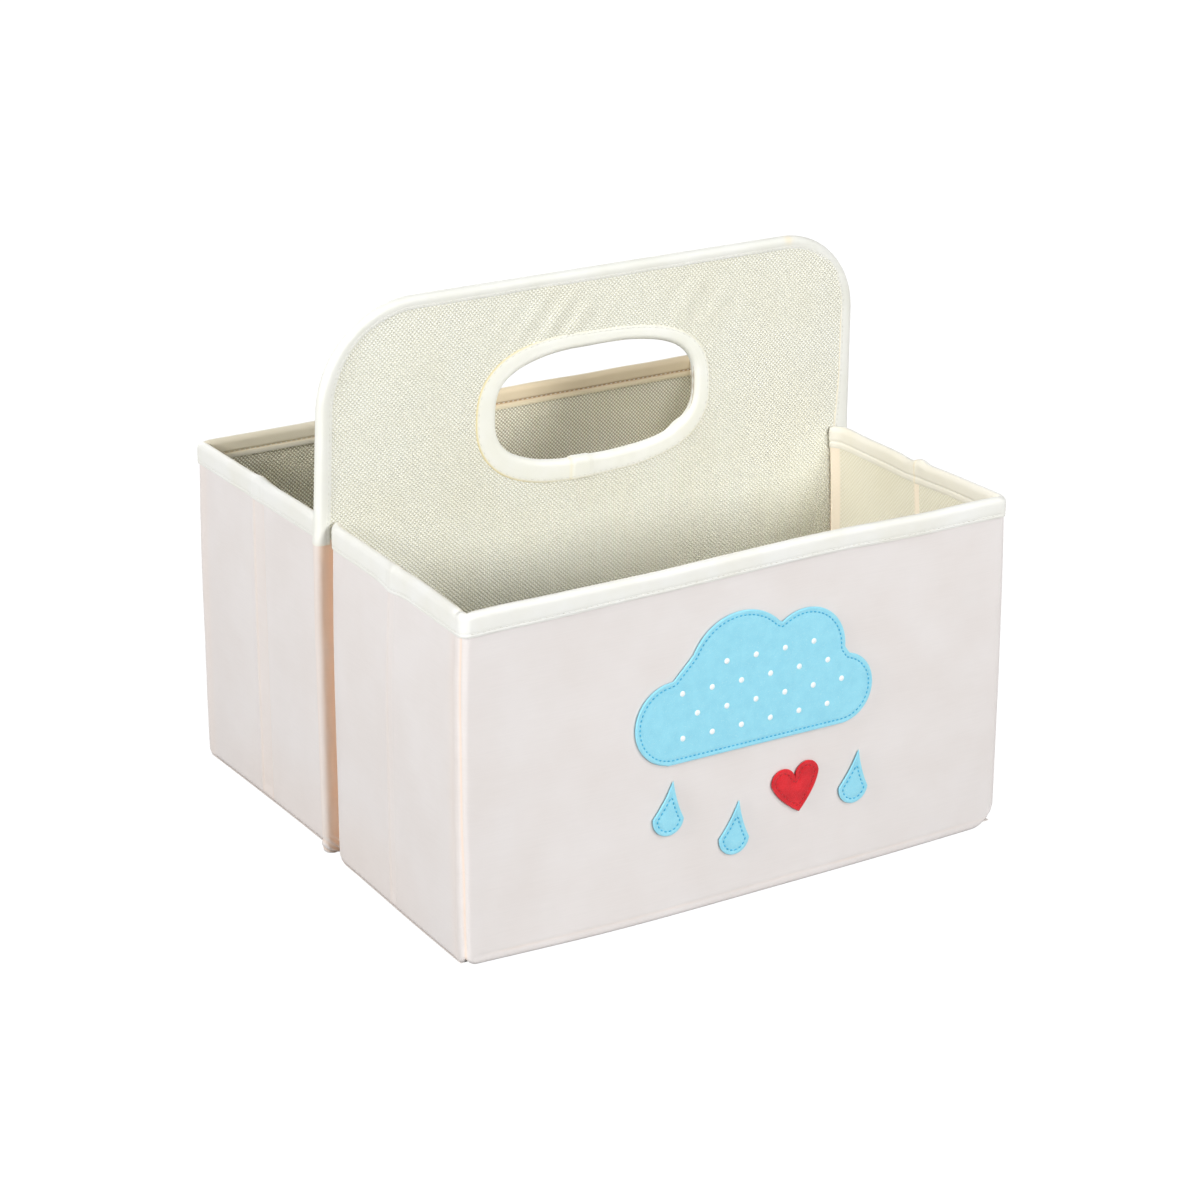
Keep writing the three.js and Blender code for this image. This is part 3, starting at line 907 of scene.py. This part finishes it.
def buildWalls(bin):
    end = "front" if bin < 0 else "rear"
    # name, slot and node, finish, place, rows, thickness, whether the grid faces inward, how it is held
    layers = [
        ("Cloth", "cloth", "cloth", clothPlace(bin), clothRows, 0.5, bin > 0, "stretched"),
        ("Lining", "lining", end + "Lining", liningPlace(bin), liningRows, 0.45, bin < 0, "stretched"),
        ("Rim", "binding", "tape", rimPlace(bin), tapeRows, 0.45, bin > 0, "folded"),
    ]
    for part, run, first, second, start, finish in wallParts(bin):
        for layer, slot, look, place, rows, thickness, inward, held in layers:
            piece = clothSheet(end + part + layer, run, rows, place, look, thickness, inward)
            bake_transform(piece)
            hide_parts(second + "_" + slot)
        seam = rimStitches(end + part + "Stitches", bin, run)
        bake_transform(seam)


for bin in (-1, 1):
    buildWalls(bin)
print("bin walls: cloth, lining, rim tape and stitches")


# Divider

divider = {
    "half": 150.5,
    "taper": 1.2,
    "top": 272.0,
    "rim": 170.0,
    "left": 52.0,  # shoulder radii
    "right": 42.0,
    "lean": 1.6,  # the handle's top leans this far to the right
    "face": 2.1,  # the lining's distance from the middle plane
    "inset": 2.4,  # the lining's edge lies this far in, under the tape
}
hole = {
    "length": 111.6,
    "height": 55.0,
    "middle": 205.6,
    "shift": 1.9,
    "fullness": 2.8,  # 2 is an ellipse, and more is squarer
    "margin": 3.5,  # from the hole's edge to the lining's
}


def lean(z):
    return divider["lean"] * ease(163, 205, z)


def dividerOutline(foot):
    # (x, z) points from the left foot over the top to the right foot
    half, top, steps = divider["half"], divider["top"], 40
    shoulder = half - divider["taper"]
    points = [(-half, foot), (-half, divider["rim"])]
    left = (180, divider["left"], -shoulder + divider["left"])
    right = (90, divider["right"], shoulder - divider["right"])
    for turn, radius, x in (left, right):
        for step in range(steps + 1):
            a = radians(turn - 90 * step / steps)
            points.append((x + radius * cos(a), top - radius + radius * sin(a)))
    points += [(half, divider["rim"]), (half, foot)]
    return [(x + lean(z), z) for x, z in points]


def holePoint(angle, margin=0.0):
    def full(value):
        return (1 if value >= 0 else -1) * abs(value) ** (2 / hole["fullness"])
    x = (hole["length"] / 2 + margin) * full(cos(angle))
    z = (hole["height"] / 2 + margin) * full(sin(angle))
    return x + hole["shift"], z + hole["middle"]


def walker(points, closed=False):
    # gives position and direction at a length along a line of points
    lengths = [0.0]
    for a, b in zip(points, points[1:]):
        lengths.append(lengths[-1] + hypot(b[0] - a[0], b[1] - a[1]))
    total, step = lengths[-1], 0.8

    def spot(q):
        q = q % total if closed else clamp(q, 0, total)
        i = clamp(bisect_right(lengths, q) - 1, 0, len(points) - 2)
        share = (q - lengths[i]) / max(1e-9, lengths[i + 1] - lengths[i])
        a, b = points[i], points[i + 1]
        return a[0] + (b[0] - a[0]) * share, a[1] + (b[1] - a[1]) * share

    def walk(q):
        x, z = spot(q)
        ahead, behind = spot(q + step), spot(q - step)
        dx, dz = ahead[0] - behind[0], ahead[1] - behind[1]
        size = hypot(dx, dz)
        return x, z, dx / size, dz / size
    return walk, total


def tapeAlong(walk, plan, widthAt, reliefAt, tintAt):
    # a folded tape along an edge: t runs from -1 at its front edge over the crown to 1 at its back edge
    def place(q, t):
        x, z, dx, dz = walk(q)
        width = widthAt(q, x, z)
        tape = dict(plan, width=width, groove=width - (plan["width"] - plan["groove"]))
        run = t * tapeReach(tape)
        out, down = foldedTape(run, tape)
        out, down = reliefAt(q, t, x, z, out, down)
        return (x + dz * down, middle + out, z - dx * down), (q, run), tintAt(q, t, x, z)
    return place


dividerTape = {
    "half": 2.9,
    "width": 7.4,
    "groove": 5.9,
    "depth": 0.14,
    "swell": 0.05,
    "foot": 159.0,
    "face": 7.3,  # its usual width, with the next two added or taken off
    "footMore": 2.4,  # at the right foot
    "topLess": 1.1,
    "flank": 7.0,  # half of the flat tape, less the crown
    "stitch": (2.0, 0.5, 0.36),
    "pitch": 2.9,
    "seam": 0.845,  # share of the way from crown to edge
}
topWalk, topLength = walker(dividerOutline(dividerTape["foot"]))


def topWidth(q, x, z):
    tape = dividerTape
    wide = tape["footMore"] * (1 - ease(160, 200, z)) * ease(100, 140, x)
    return tape["face"] + wide - tape["topLess"] * ease(225, 262, z) + 0.2 * wander(q, 0, 22, 1.5)


def topRelief(q, t, x, z, out, down):
    out *= 1 + 0.05 * wander(q, t * 3, 16, 2.5)
    ends = min(q, topLength - q)
    side = -1 if out < 0 else 1
    out += side * 0.35 * (1 - ease(0.5, 7, ends))  # the tape's ends lie over the covers
    down -= 0.5 * (1 - ease(2, 12, ends))
    return out, down


def topTint(q, t, x, z):
    # a real stain near the top, and a painted shade line along the tape's front edge on the right, where it
    # stands off the lining
    tinted = 0.38 * hump(111.5, 2.2, x) * (1 if z > 262 else 0) * hump(-0.35, 0.35, t)
    edge = 0.4 * hump(-1.0, 0.06, t) * ease(120, 140, x)
    return clamp(tinted + edge + 0.12 * hump(0, 1.0, min(q, topLength - q)))


topPlace = tapeAlong(topWalk, dividerTape, topWidth, topRelief, topTint)
topRows = rungs((-1, -0.62, 0.045), (-0.62, 0.62, 0.07), (0.62, 1, 0.045))
topRun = rungs((0, 12, 1.0), (12, topLength - 12, 1.9), (topLength - 12, topLength, 1.0))
dividerBinding = clothSheet("dividerBinding", topRun, topRows, topPlace, "dividerTape")

ringTape = {
    "half": 2.95,
    "width": 10.2,
    "groove": 8.9,
    "depth": 0.12,
    "swell": 0.05,
    "face": 9.41,  # its mean width, with the next three taken off or added
    "rightLess": 1.58,
    "topLess": 1.05,
    "endsMore": 0.365,
    "flank": 10.2,
    "stitch": (2.0, 0.42, 0.3),
    "pitch": 3.0,
    "seam": 0.885,
    "lap": (-13, -1.8),  # where the tape's end lies over its start, x at the hole's foot
}
ringWalk, ringLength = walker([holePoint(2 * pi * step / 240) for step in range(241)], closed=True)


def ringAngle(x, z):
    return atan2((z - hole["middle"]) / hole["height"], (x - hole["shift"]) / hole["length"])


def ringWidth(q, x, z):
    a = ringAngle(x, z)
    tape = ringTape
    return tape["face"] - tape["rightLess"] * cos(a) - tape["topLess"] * sin(a) + tape["endsMore"] * cos(2 * a)


def atFoot(z):
    return z < hole["middle"] - 8


def ringRelief(q, t, x, z, out, down):
    # the lap of the tape's ends, a lump at the upper right and small unevenness
    side = -1 if out < 0 else 1
    start, end = ringTape["lap"]
    lap = (ease(start, start + 0.8, x) - ease(end - 0.8, end, x)) if atFoot(z) else 0.0
    out += side * 0.55 * lap * ease(0.02, 0.2, abs(t))
    down -= 0.6 * lap * (1 - abs(t))
    lump = hump(47, 3.4, x) * hump(188, 4.0, z)
    out += side * 0.5 * lump
    down -= 1.5 * lump * (1 - ease(0.2, 0.7, abs(t)))
    out += side * (0.14 * wander(x, z, 9, 6.5) + 0.08 * wander(x, z, 3.5, 1.1))
    down += 0.5 * wander(x, z, 14, 8.5) * (1 - abs(t))
    return out, down


def ringTint(q, t, x, z):
    edge = hump(-12.6, 0.5, x) * (0.3 if atFoot(z) else 0.0)
    rim = hump(1.0, 0.06, abs(t)) * (0.12 + 0.4 * ease(0.2, 0.9, -cos(ringAngle(x, z))))
    return clamp(edge + rim + 0.08 * hump(47, 3.0, x) * hump(188, 3.0, z))


ringPlace = tapeAlong(ringWalk, ringTape, ringWidth, ringRelief, ringTint)
ringRun = rungs((0, ringLength, 1.3))
ringRows = rungs((-1, -0.66, 0.04), (-0.66, 0.66, 0.06), (0.66, 1, 0.04))
handleBinding = clothSheet("handleBinding", ringRun, ringRows, ringPlace, "handleTape")


def faceStitches(name, place, length, tape, margins):
    # a row on each face; margins are what is left free at the row's start and end
    start, end = margins
    spots = []
    for t, outward in ((-tape["seam"], (0, -1, 0)), (tape["seam"], (0, 1, 0))):
        positions = rungs((start, length - end, tape["pitch"]))
        spots += rowSpots(place, positions, t, lambda s, o=outward: o)
    return stitchRow(name, spots, tape["stitch"])


topSeam = faceStitches("dividerStitches", topPlace, topLength, dividerTape, (2.0, 2.0))
ringSeam = faceStitches("handleStitches", ringPlace, ringLength, ringTape, (0, ringTape["pitch"]))


def liningRipple(x, z):
    # two patches of slanting puckers under the top tape
    left = hump(-22, 24, x) * hump(249, 13, z) * sin((x - 0.8 * z) * 2 * pi / 15)
    right = 0.6 * hump(62, 22, x) * hump(247, 12, z) * sin((x - 0.7 * z) * 2 * pi / 21)
    return left + right


def liningFace(name, side):
    # the lining of one face of the divider: rings of cloth from the hand hole out to the edge
    outline = dividerOutline(0.0)
    walk, length = walker(outline + outline[:1])
    foot = divider["half"] * 2
    across, down = 1 - divider["inset"] / divider["half"], divider["inset"] / divider["top"]

    def place(q, t):
        x, z, _, _ = walk(q)
        x, z = x * across, z if z < 1 else z - z * down
        a = atan2(z - hole["middle"], x - hole["shift"])
        hx, hz = holePoint(atan2(sin(a) / hole["height"], cos(a) / hole["length"]), hole["margin"])
        px, pz = hx + (x - hx) * t, hz + (z - hz) * t
        soft = 0.35 * wander(px, pz, 46, side * 2.2) + 0.34 * liningRipple(px, pz)
        off = divider["face"] * roundIn(pz, 2.1) + max(-0.2, soft * ease(0, 12, pz))
        return (px, middle + side * off, pz), (px, pz), 0.0

    along = rungs((0, length - foot, 2.6), (length - foot, length, 2.6))
    rows = rungs((0, 0.1, 0.05), (0.1, 0.92, 0.028), (0.92, 1, 0.02))
    return clothSheet(name, along, rows, place, "lining", 0.45, inward=side < 0)


liningFront, liningBack = liningFace("dividerLiningFront", -1), liningFace("dividerLiningBack", 1)

cover = {"half": 2.9, "width": 10.5, "groove": 9.0, "depth": 0.2, "swell": 0.0, "tip": 151.4, "top": 161.0}
coverReach = tapeReach(cover)


def coverPlace(end):
    # the cloth over the divider's edge below the rim, creased and twisted towards its foot
    def place(t, z):
        out, down = foldedTape(t, cover)
        low = 1 - ease(1, 13, z)
        out *= 1 - 0.25 * (1 - roundIn(z, 4.0)) + 0.03 * wander(t, z, 14, end)
        twist = sin((z * 1.25 + down * 1.1) * 2 * pi / 5.2)
        out += (1 if t > 0 else -1) * (0.5 * low * twist + 0.14 * wander(t * 3, z, 7, end)) * ease(0, 3, down)
        down += 3.6 * (1 - roundIn(z, 4.2)) + 0.3 * wander(z, t, 26, end * 3) - 0.35 * low * twist
        down += 0.45 * ease(120, 161, z)
        # painted shade: peach-brown over the front half and the back half, less towards the foot; the last line
        # paints shade in the twist's troughs and light on its ridges
        front, back = clamp(-t / coverReach), clamp(t / coverReach)
        tint = 0.10 + (0.32 - 0.16 * low) * ease(0.10, 0.5, front) + 0.35 * ease(0.2, 0.8, back)
        tint *= 0.95 + 0.16 * wander(t, z, 18, 3) + 0.12 * wander(t * 4, z, 9, 5)
        tint -= 0.18 * low * twist
        return (end * (cover["tip"] - down), middle + out, z), (t, z), clamp(tint)
    return place


coverAcross = rungs((-coverReach, -3.5, 0.7), (-3.5, 3.5, 0.5), (3.5, coverReach, 0.7))
coverUp = rungs((0, 16, 0.55), (16, cover["top"], 3.0))
covers = [
    clothSheet("edgeCoverLeft", coverAcross, coverUp, coverPlace(-1), "cloth", inward=True),
    clothSheet("edgeCoverRight", coverAcross, coverUp, coverPlace(1), "cloth"),
]

for piece, slot, stood in (
    (dividerBinding, "binding", ["divider_binding"]),
    (handleBinding, "binding", ["handle_binding"]),
    (topSeam, "binding", []),
    (ringSeam, "binding", []),
    (liningFront, "lining", ["divider_lining"]),
    (liningBack, "lining", ["divider_lining"]),
    (covers[0], "edge", ["divider_edge_cover_left"]),
    (covers[1], "edge", ["divider_edge_cover_right"]),
):
    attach(piece, "divider")
    if stood:
        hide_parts(*stood)
print("divider: lining, bindings, stitches and edge covers")


# Boards inside the leaves and panels, floors and gussets

inner = {
    "boardHalf": 143.4,  # half an end panel's board
    "boardFoot": 1.9,
    "boardTop": 167.0,
    "boardFace": 0.85,
    "boardThick": 1.7,
    "floorHalf": 142.2,  # half a floor's length at its hinge
    "floorTaper": 0.91,  # a floor half loses this much per mm from its hinge
    "hingeNear": 3.8,
    "hingeFar": 134.2,
    "ridge": 69.0,
    "ridgeGap": 0.4,
    "floorTop": 2.95,
    "floorThick": 2.2,
}


def standFor(piece, body, stood):
    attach(piece, body)
    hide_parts(stood)


def leafBoard(name, end, bin, body, run):
    # cardboard of one leaf, between its two hinge lines
    def place(n, z):
        x = walls["side"] + inner["boardFace"] + wallSway(bin, end > 0, n - walls["start"], z)
        return (end * x, middle + bin * n, z), (n, z), 0.0
    inward = (end < 0) != (bin < 0)
    up = rungs((inner["boardFoot"], 167.2, 9.0))
    piece = clothSheet(name, rungs(run), up, place, "greyBoard", inner["boardThick"], inward)
    edge = piece.modifiers.new("edge", "BEVEL")
    edge.width, edge.segments, edge.limit_method = 0.35 * mm, 2, "ANGLE"
    standFor(piece, body, body + "_board")


def panelBoard(name, bin, body, stood):
    # cardboard of an end panel, its lower corners rounded as the cloth's
    half = inner["boardHalf"]

    def place(x, t):
        radius = walls["footLeft"] if x < 0 else walls["footRight"]
        low = inner["boardFoot"] + radius * (1 - roundIn(half - abs(x), radius))
        z = low + (inner["boardTop"] - low) * t
        n = walls["panel"] + inner["boardFace"] + panelBow(bin, x, z)
        return (x, middle + bin * n, z), (x, t), 0.0
    across = rungs((-half, -half + 4, 0.4), (-half + 4, half - 14, 12.0), (half - 14, half, 0.8))
    up = rungs((0, 1, 0.1))
    piece = clothSheet(name, across, up, place, "greyBoard", inner["boardThick"], inward=bin > 0)
    standFor(piece, body, stood)


def floorHalf(name, bin, body, near, far, hinge):
    # one stiff half of a floor, wrapped in lining and crowned a little
    def place(u, t):
        n = near + (far - near) * t
        reach = inner["floorHalf"] - inner["floorTaper"] * max(0.0, abs(n - hinge) - 1.2)
        x = reach * u
        edge = min(min(t, 1 - t) * (far - near), (1 - abs(u)) * reach)
        z = inner["floorTop"] - 0.5 * (1 - roundIn(edge, 1.6))
        z += 0.18 * wander(x, n, 30, bin * 4) * ease(0, 8, edge)
        return (x, middle + bin * n, z), (x, n), 0.0
    across = rungs((-1, -0.97, 0.008), (-0.97, 0.97, 0.05), (0.97, 1, 0.008))
    rows = rungs((0, 0.06, 0.015), (0.06, 0.94, 0.08), (0.94, 1, 0.015))
    piece = clothSheet(name, across, rows, place, "lining", inner["floorThick"], inward=bin < 0)
    standFor(piece, body, body)


def gusset(name, end, bin, stood):
    # the soft triangle between a side wall's foot and the floor's two slanted edges
    def place(n, t):
        away = min(abs(n - inner["hingeNear"]), abs(inner["hingeFar"] - n))
        tip = inner["floorHalf"] + 0.6 - inner["floorTaper"] * away
        edge = walls["side"] + 1.2 + wallSway(bin, end > 0, n - walls["start"], 0)
        x = tip + (edge - tip) * t
        free = ease(0, 4, edge - 3.4 - x) * ease(0, 5, x - tip)
        fold = sin((n - inner["ridge"]) * 2 * pi / 21 * (0.5 + 0.5 * t))
        z = 0.62 + free * (0.55 + 0.5 * fold)
        return (end * x, middle + bin * n, z), (x, n), 0.05
    inward = (end < 0) == (bin < 0)
    piece = clothSheet(name, rungs((3.4, 135.1, 2.4)), rungs((0, 1, 0.06)), place, "cloth", 0.4, inward)
    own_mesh(piece)
    standFor(piece, "divider", stood)


for bin, end in ((-1, "front"), (1, "rear")):
    for side, sign in (("left", -1), ("right", 1)):
        late = creaseAt(bin, sign < 0) - crease
        stem, label = end + "_" + side, end + side.title()
        leafBoard(label + "CentreBoard", sign, bin, stem + "_centre", (9.6, 67.95 + late, 4.0))
        leafBoard(label + "EndBoard", sign, bin, stem + "_end", (72.35 + late, 129.1, 5.0))
        gusset(label + "Gusset", sign, bin, stem + "_gusset")
    panelBoard(end + "PanelBoard", bin, end + "_panel", end + "_panel_board")
    ridge, gap = inner["ridge"], inner["ridgeGap"]
    floorHalf(end + "FloorInner", bin, end + "_floor_inner", 2.7, ridge - gap, inner["hingeNear"])
    floorHalf(end + "FloorOuter", bin, end + "_floor_outer", ridge + gap, 135.3, inner["hingeFar"])
print("boards, floors and gussets")


# Felt shapes on the front panel

felt = {
    "front": 140.95,  # its face, from the divider's middle plane
    "thick": 1.0,
    "stitchIn": 2.4,
    "stitchPitch": 2.35,
    "stitch": (1.65, 0.8, 0.6),
    "arcStep": 1.3,
    "lineStep": 1.8,
    "curveSteps": 16,
    "rings": (0, 0.15, 0.3, 0.45, 0.58, 0.68, 0.75, 0.8, 0.84,
              0.87, 0.9, 0.92, 0.94, 0.96, 0.975, 0.985, 0.993, 1),
}
cloud = {"long": 132.0, "high": 68.0, "foot": 0.26, "side": 0.33, "dome": 0.42, "core": (12, 25)}
drop = {"high": 27.0, "radius": 8.5}
heart = {"wide": 27.0}
dots = {"radius": 1.5, "depth": 0.22, "across": 16, "up": 11}


def arcPoints(x, z, radius, start, end):
    count = max(3, round(abs(end - start) * radius / felt["arcStep"]))
    turns = [start + (end - start) * i / count for i in range(count + 1)]
    return [(x + radius * cos(a), z + radius * sin(a)) for a in turns]


def curvePoints(a, b, c):
    # from a to c, leaning towards b
    def point(t):
        return tuple((1 - t) ** 2 * a[k] + 2 * t * (1 - t) * b[k] + t * t * c[k] for k in (0, 1))
    return [point(i / felt["curveSteps"]) for i in range(felt["curveSteps"] + 1)]


def linePoints(a, b):
    count = max(1, round(hypot(b[0] - a[0], b[1] - a[1]) / felt["lineStep"]))
    return [(a[0] + (b[0] - a[0]) * i / count, a[1] + (b[1] - a[1]) * i / count) for i in range(count + 1)]


def cloudShape():
    half, high = cloud["long"] / 2, cloud["high"]
    foot, side, dome = high * cloud["foot"], high * cloud["side"], high * cloud["dome"]
    points = linePoints((-half + foot, 0), (half - foot, 0))
    points += arcPoints(half - foot, foot, foot, -pi / 2, 0.42 * pi)
    points += arcPoints(half * 0.42, high - side * 1.25, side, -0.02 * pi, 0.7 * pi)
    points += arcPoints(-half * 0.12, high - dome, dome, 0.24 * pi, 0.86 * pi)
    points += arcPoints(-half + foot * 1.2, foot * 1.15, foot * 1.15, 0.5 * pi, 1.45 * pi)
    return points


def dropShape():
    radius = drop["radius"]
    tip = drop["high"] - radius
    points = curvePoints((0, tip), (-radius * 0.35, tip * 0.45), (-radius, 0))
    points += arcPoints(0, 0, radius, pi, 2 * pi)
    return points + curvePoints((radius, 0), (radius * 0.35, tip * 0.45), (0, tip))


def heartShape():
    wide = heart["wide"]
    lobe = wide / 4
    points = curvePoints((0, -wide * 0.5), (wide * 0.42, -wide * 0.16), (2 * lobe, lobe * 0.6))
    points += arcPoints(lobe, lobe * 0.6, lobe, 0, pi)
    points += arcPoints(-lobe, lobe * 0.6, lobe, 0, pi)
    return points + curvePoints((-2 * lobe, lobe * 0.6), (-wide * 0.42, -wide * 0.16), (0, -wide * 0.5))


def areaOf(points):
    # positive where the points run anticlockwise
    return sum(a[0] * b[1] - b[0] * a[1] for a, b in zip(points, points[1:] + points[:1])) / 2


def placed(points, x, z, turn):
    # turned, moved and thinned of doubles
    apart = 0.35
    kept = []
    for px, pz in points:
        spot = (x + px * cos(turn) + pz * sin(turn), z - px * sin(turn) + pz * cos(turn))
        if not kept or hypot(spot[0] - kept[-1][0], spot[1] - kept[-1][1]) > apart:
            kept.append(spot)
    if hypot(kept[0][0] - kept[-1][0], kept[0][1] - kept[-1][1]) < apart:
        kept.pop()
    return kept if areaOf(kept) > 0 else kept[::-1]


def insetLine(points, inset):
    # a line inside an outline, kept at least that far from every part of it
    line = []
    count = len(points)
    for i in range(count):
        a, b = points[i - 2], points[(i + 2) % count]
        dx, dz = b[0] - a[0], b[1] - a[1]
        size = hypot(dx, dz)
        spot = (points[i][0] - dz / size * inset, points[i][1] + dx / size * inset)
        if min(hypot(spot[0] - p[0], spot[1] - p[1]) for p in points) > inset * 0.93:
            line.append(spot)
    return line + line[:1]


def feltFace(x, z):
    # y of the felt's face
    return middle - felt["front"] - panelBow(-1, x, z)


def feltPiece(name, points, core, finish, thread, slot, stood):
    # rings of felt from the shape's core out to its cut edge, pressed down along the stitches
    closed = points + points[:1]

    def place(i, t):
        ox, oz = closed[i]
        x, z = core[0] + (ox - core[0]) * t, core[1] + (oz - core[1]) * t
        edge = 0.0 if t == 1 else min(hypot(x - px, z - pz) for px, pz in points)
        y = felt["front"] - 0.45 * (1 - roundIn(edge, 0.8)) - 0.3 * hump(felt["stitchIn"], 0.55, edge)
        y += 0.12 * wander(x, z, 7, 2.0) * ease(0.5, 3, edge) + panelBow(-1, x, z)
        return (x, middle - y, z), (x, z), 0.0

    piece = clothSheet(name, range(len(closed)), felt["rings"], place, finish, felt["thick"], inward=True)
    walk, length = walker(insetLine(points, felt["stitchIn"]))
    count = round(length / felt["stitchPitch"])
    spots = []
    for i in range(count):
        x, z, dx, dz = walk((i + 0.5) * length / count)
        spots.append(((x, feltFace(x, z) + 0.1, z), (dx, 0, dz), (0, -1, 0)))
    seam = stitchRow(name + "Stitches", spots, felt["stitch"], thread)
    for part in (piece, seam):
        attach(part, "front_panel")
    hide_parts(stood)


blue, red = ("blueFelt", "blueThread", "blue_felt"), ("redFelt", "redThread", "red_felt")
cloudSpot, heartSpot = (4, 76), (27, 50)
cloudCore = (cloudSpot[0] + cloud["core"][0], cloudSpot[1] + cloud["core"][1])
feltPiece("feltCloud", placed(cloudShape(), *cloudSpot, 0), cloudCore, *blue, "felt_cloud")
for side, spot in (("Left", (-44, 50)), ("Middle", (-8, 32)), ("Right", (60, 42))):
    shape = placed(dropShape(), *spot, 0.16)
    feltPiece("feltDrop" + side, shape, spot, *blue, "felt_drop_" + side.lower())
feltPiece("feltHeart", placed(heartShape(), *heartSpot, -0.12), heartSpot, *red, "felt_heart")


def printedDots(name, spots):
    bm = bmesh.new()
    radius, flat = dots["radius"], Matrix.Rotation(pi / 2, 4, "X")
    for x, z in spots:
        bmesh.ops.create_cone(
            bm,
            cap_ends=True,
            segments=14,
            radius1=radius * mm,
            radius2=radius * 0.85 * mm,
            depth=dots["depth"] * mm,
            matrix=Matrix.Translation(Vector((x, feltFace(x, z) - 0.02, z)) * mm) @ flat,
        )
    piece = meshObject(name, bm, "whitePrint")
    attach(piece, "front_panel")


def insideCloud(x, z):
    return -48 < x < 58 and (z < 112 or -24 < x < 38) and (z < 100 or x < 46)


dotSpots = []
for row in range(4):  # every other row is set half a step to the right
    start = -36 + (dots["across"] // 2 if row % 2 else 0)
    dotSpots += [(start + dots["across"] * i, 88 + dots["up"] * row) for i in range(7)]
printedDots("cloudDots", [spot for spot in dotSpots if insideCloud(*spot)])
print("felt shapes")


# What carries over from the CAD model, and the floor

for name, node in nodes.items():
    if not node.hide_render:
        node.data.materials.clear()
        node.data.materials.append(finishes["greyBoard"])


ground = {"size": 6.0, "tone": 0.3, "glow": 1.2, "glowShare": 0.84}  # size in m


def makeGround():
    # a matt floor that takes the shadow, and glows towards the camera so that it reads white
    bm = bmesh.new()
    bmesh.ops.create_grid(bm, x_segments=2, y_segments=2, size=ground["size"])
    material = bpy.data.materials.new("paleGround")
    material.use_nodes = True
    material.node_tree.nodes.clear()
    t = Tree(material.node_tree)
    matt = t.add("BsdfDiffuse", {"Color": (ground["tone"],) * 3 + (1,)})
    glow = t.add("Emission", {"Color": white, "Strength": ground["glow"]})
    share = t.sum("MULTIPLY", t.add("LightPath").outputs["Is Camera Ray"], ground["glowShare"])
    mix = t.add("MixShader", {0: share, 1: matt.outputs[0], 2: glow.outputs[0]})
    out = t.add("OutputMaterial")
    t.join(mix.outputs[0], out.inputs[0])
    finishes["ground"] = material
    meshObject("ground", bm, "ground")


makeGround()
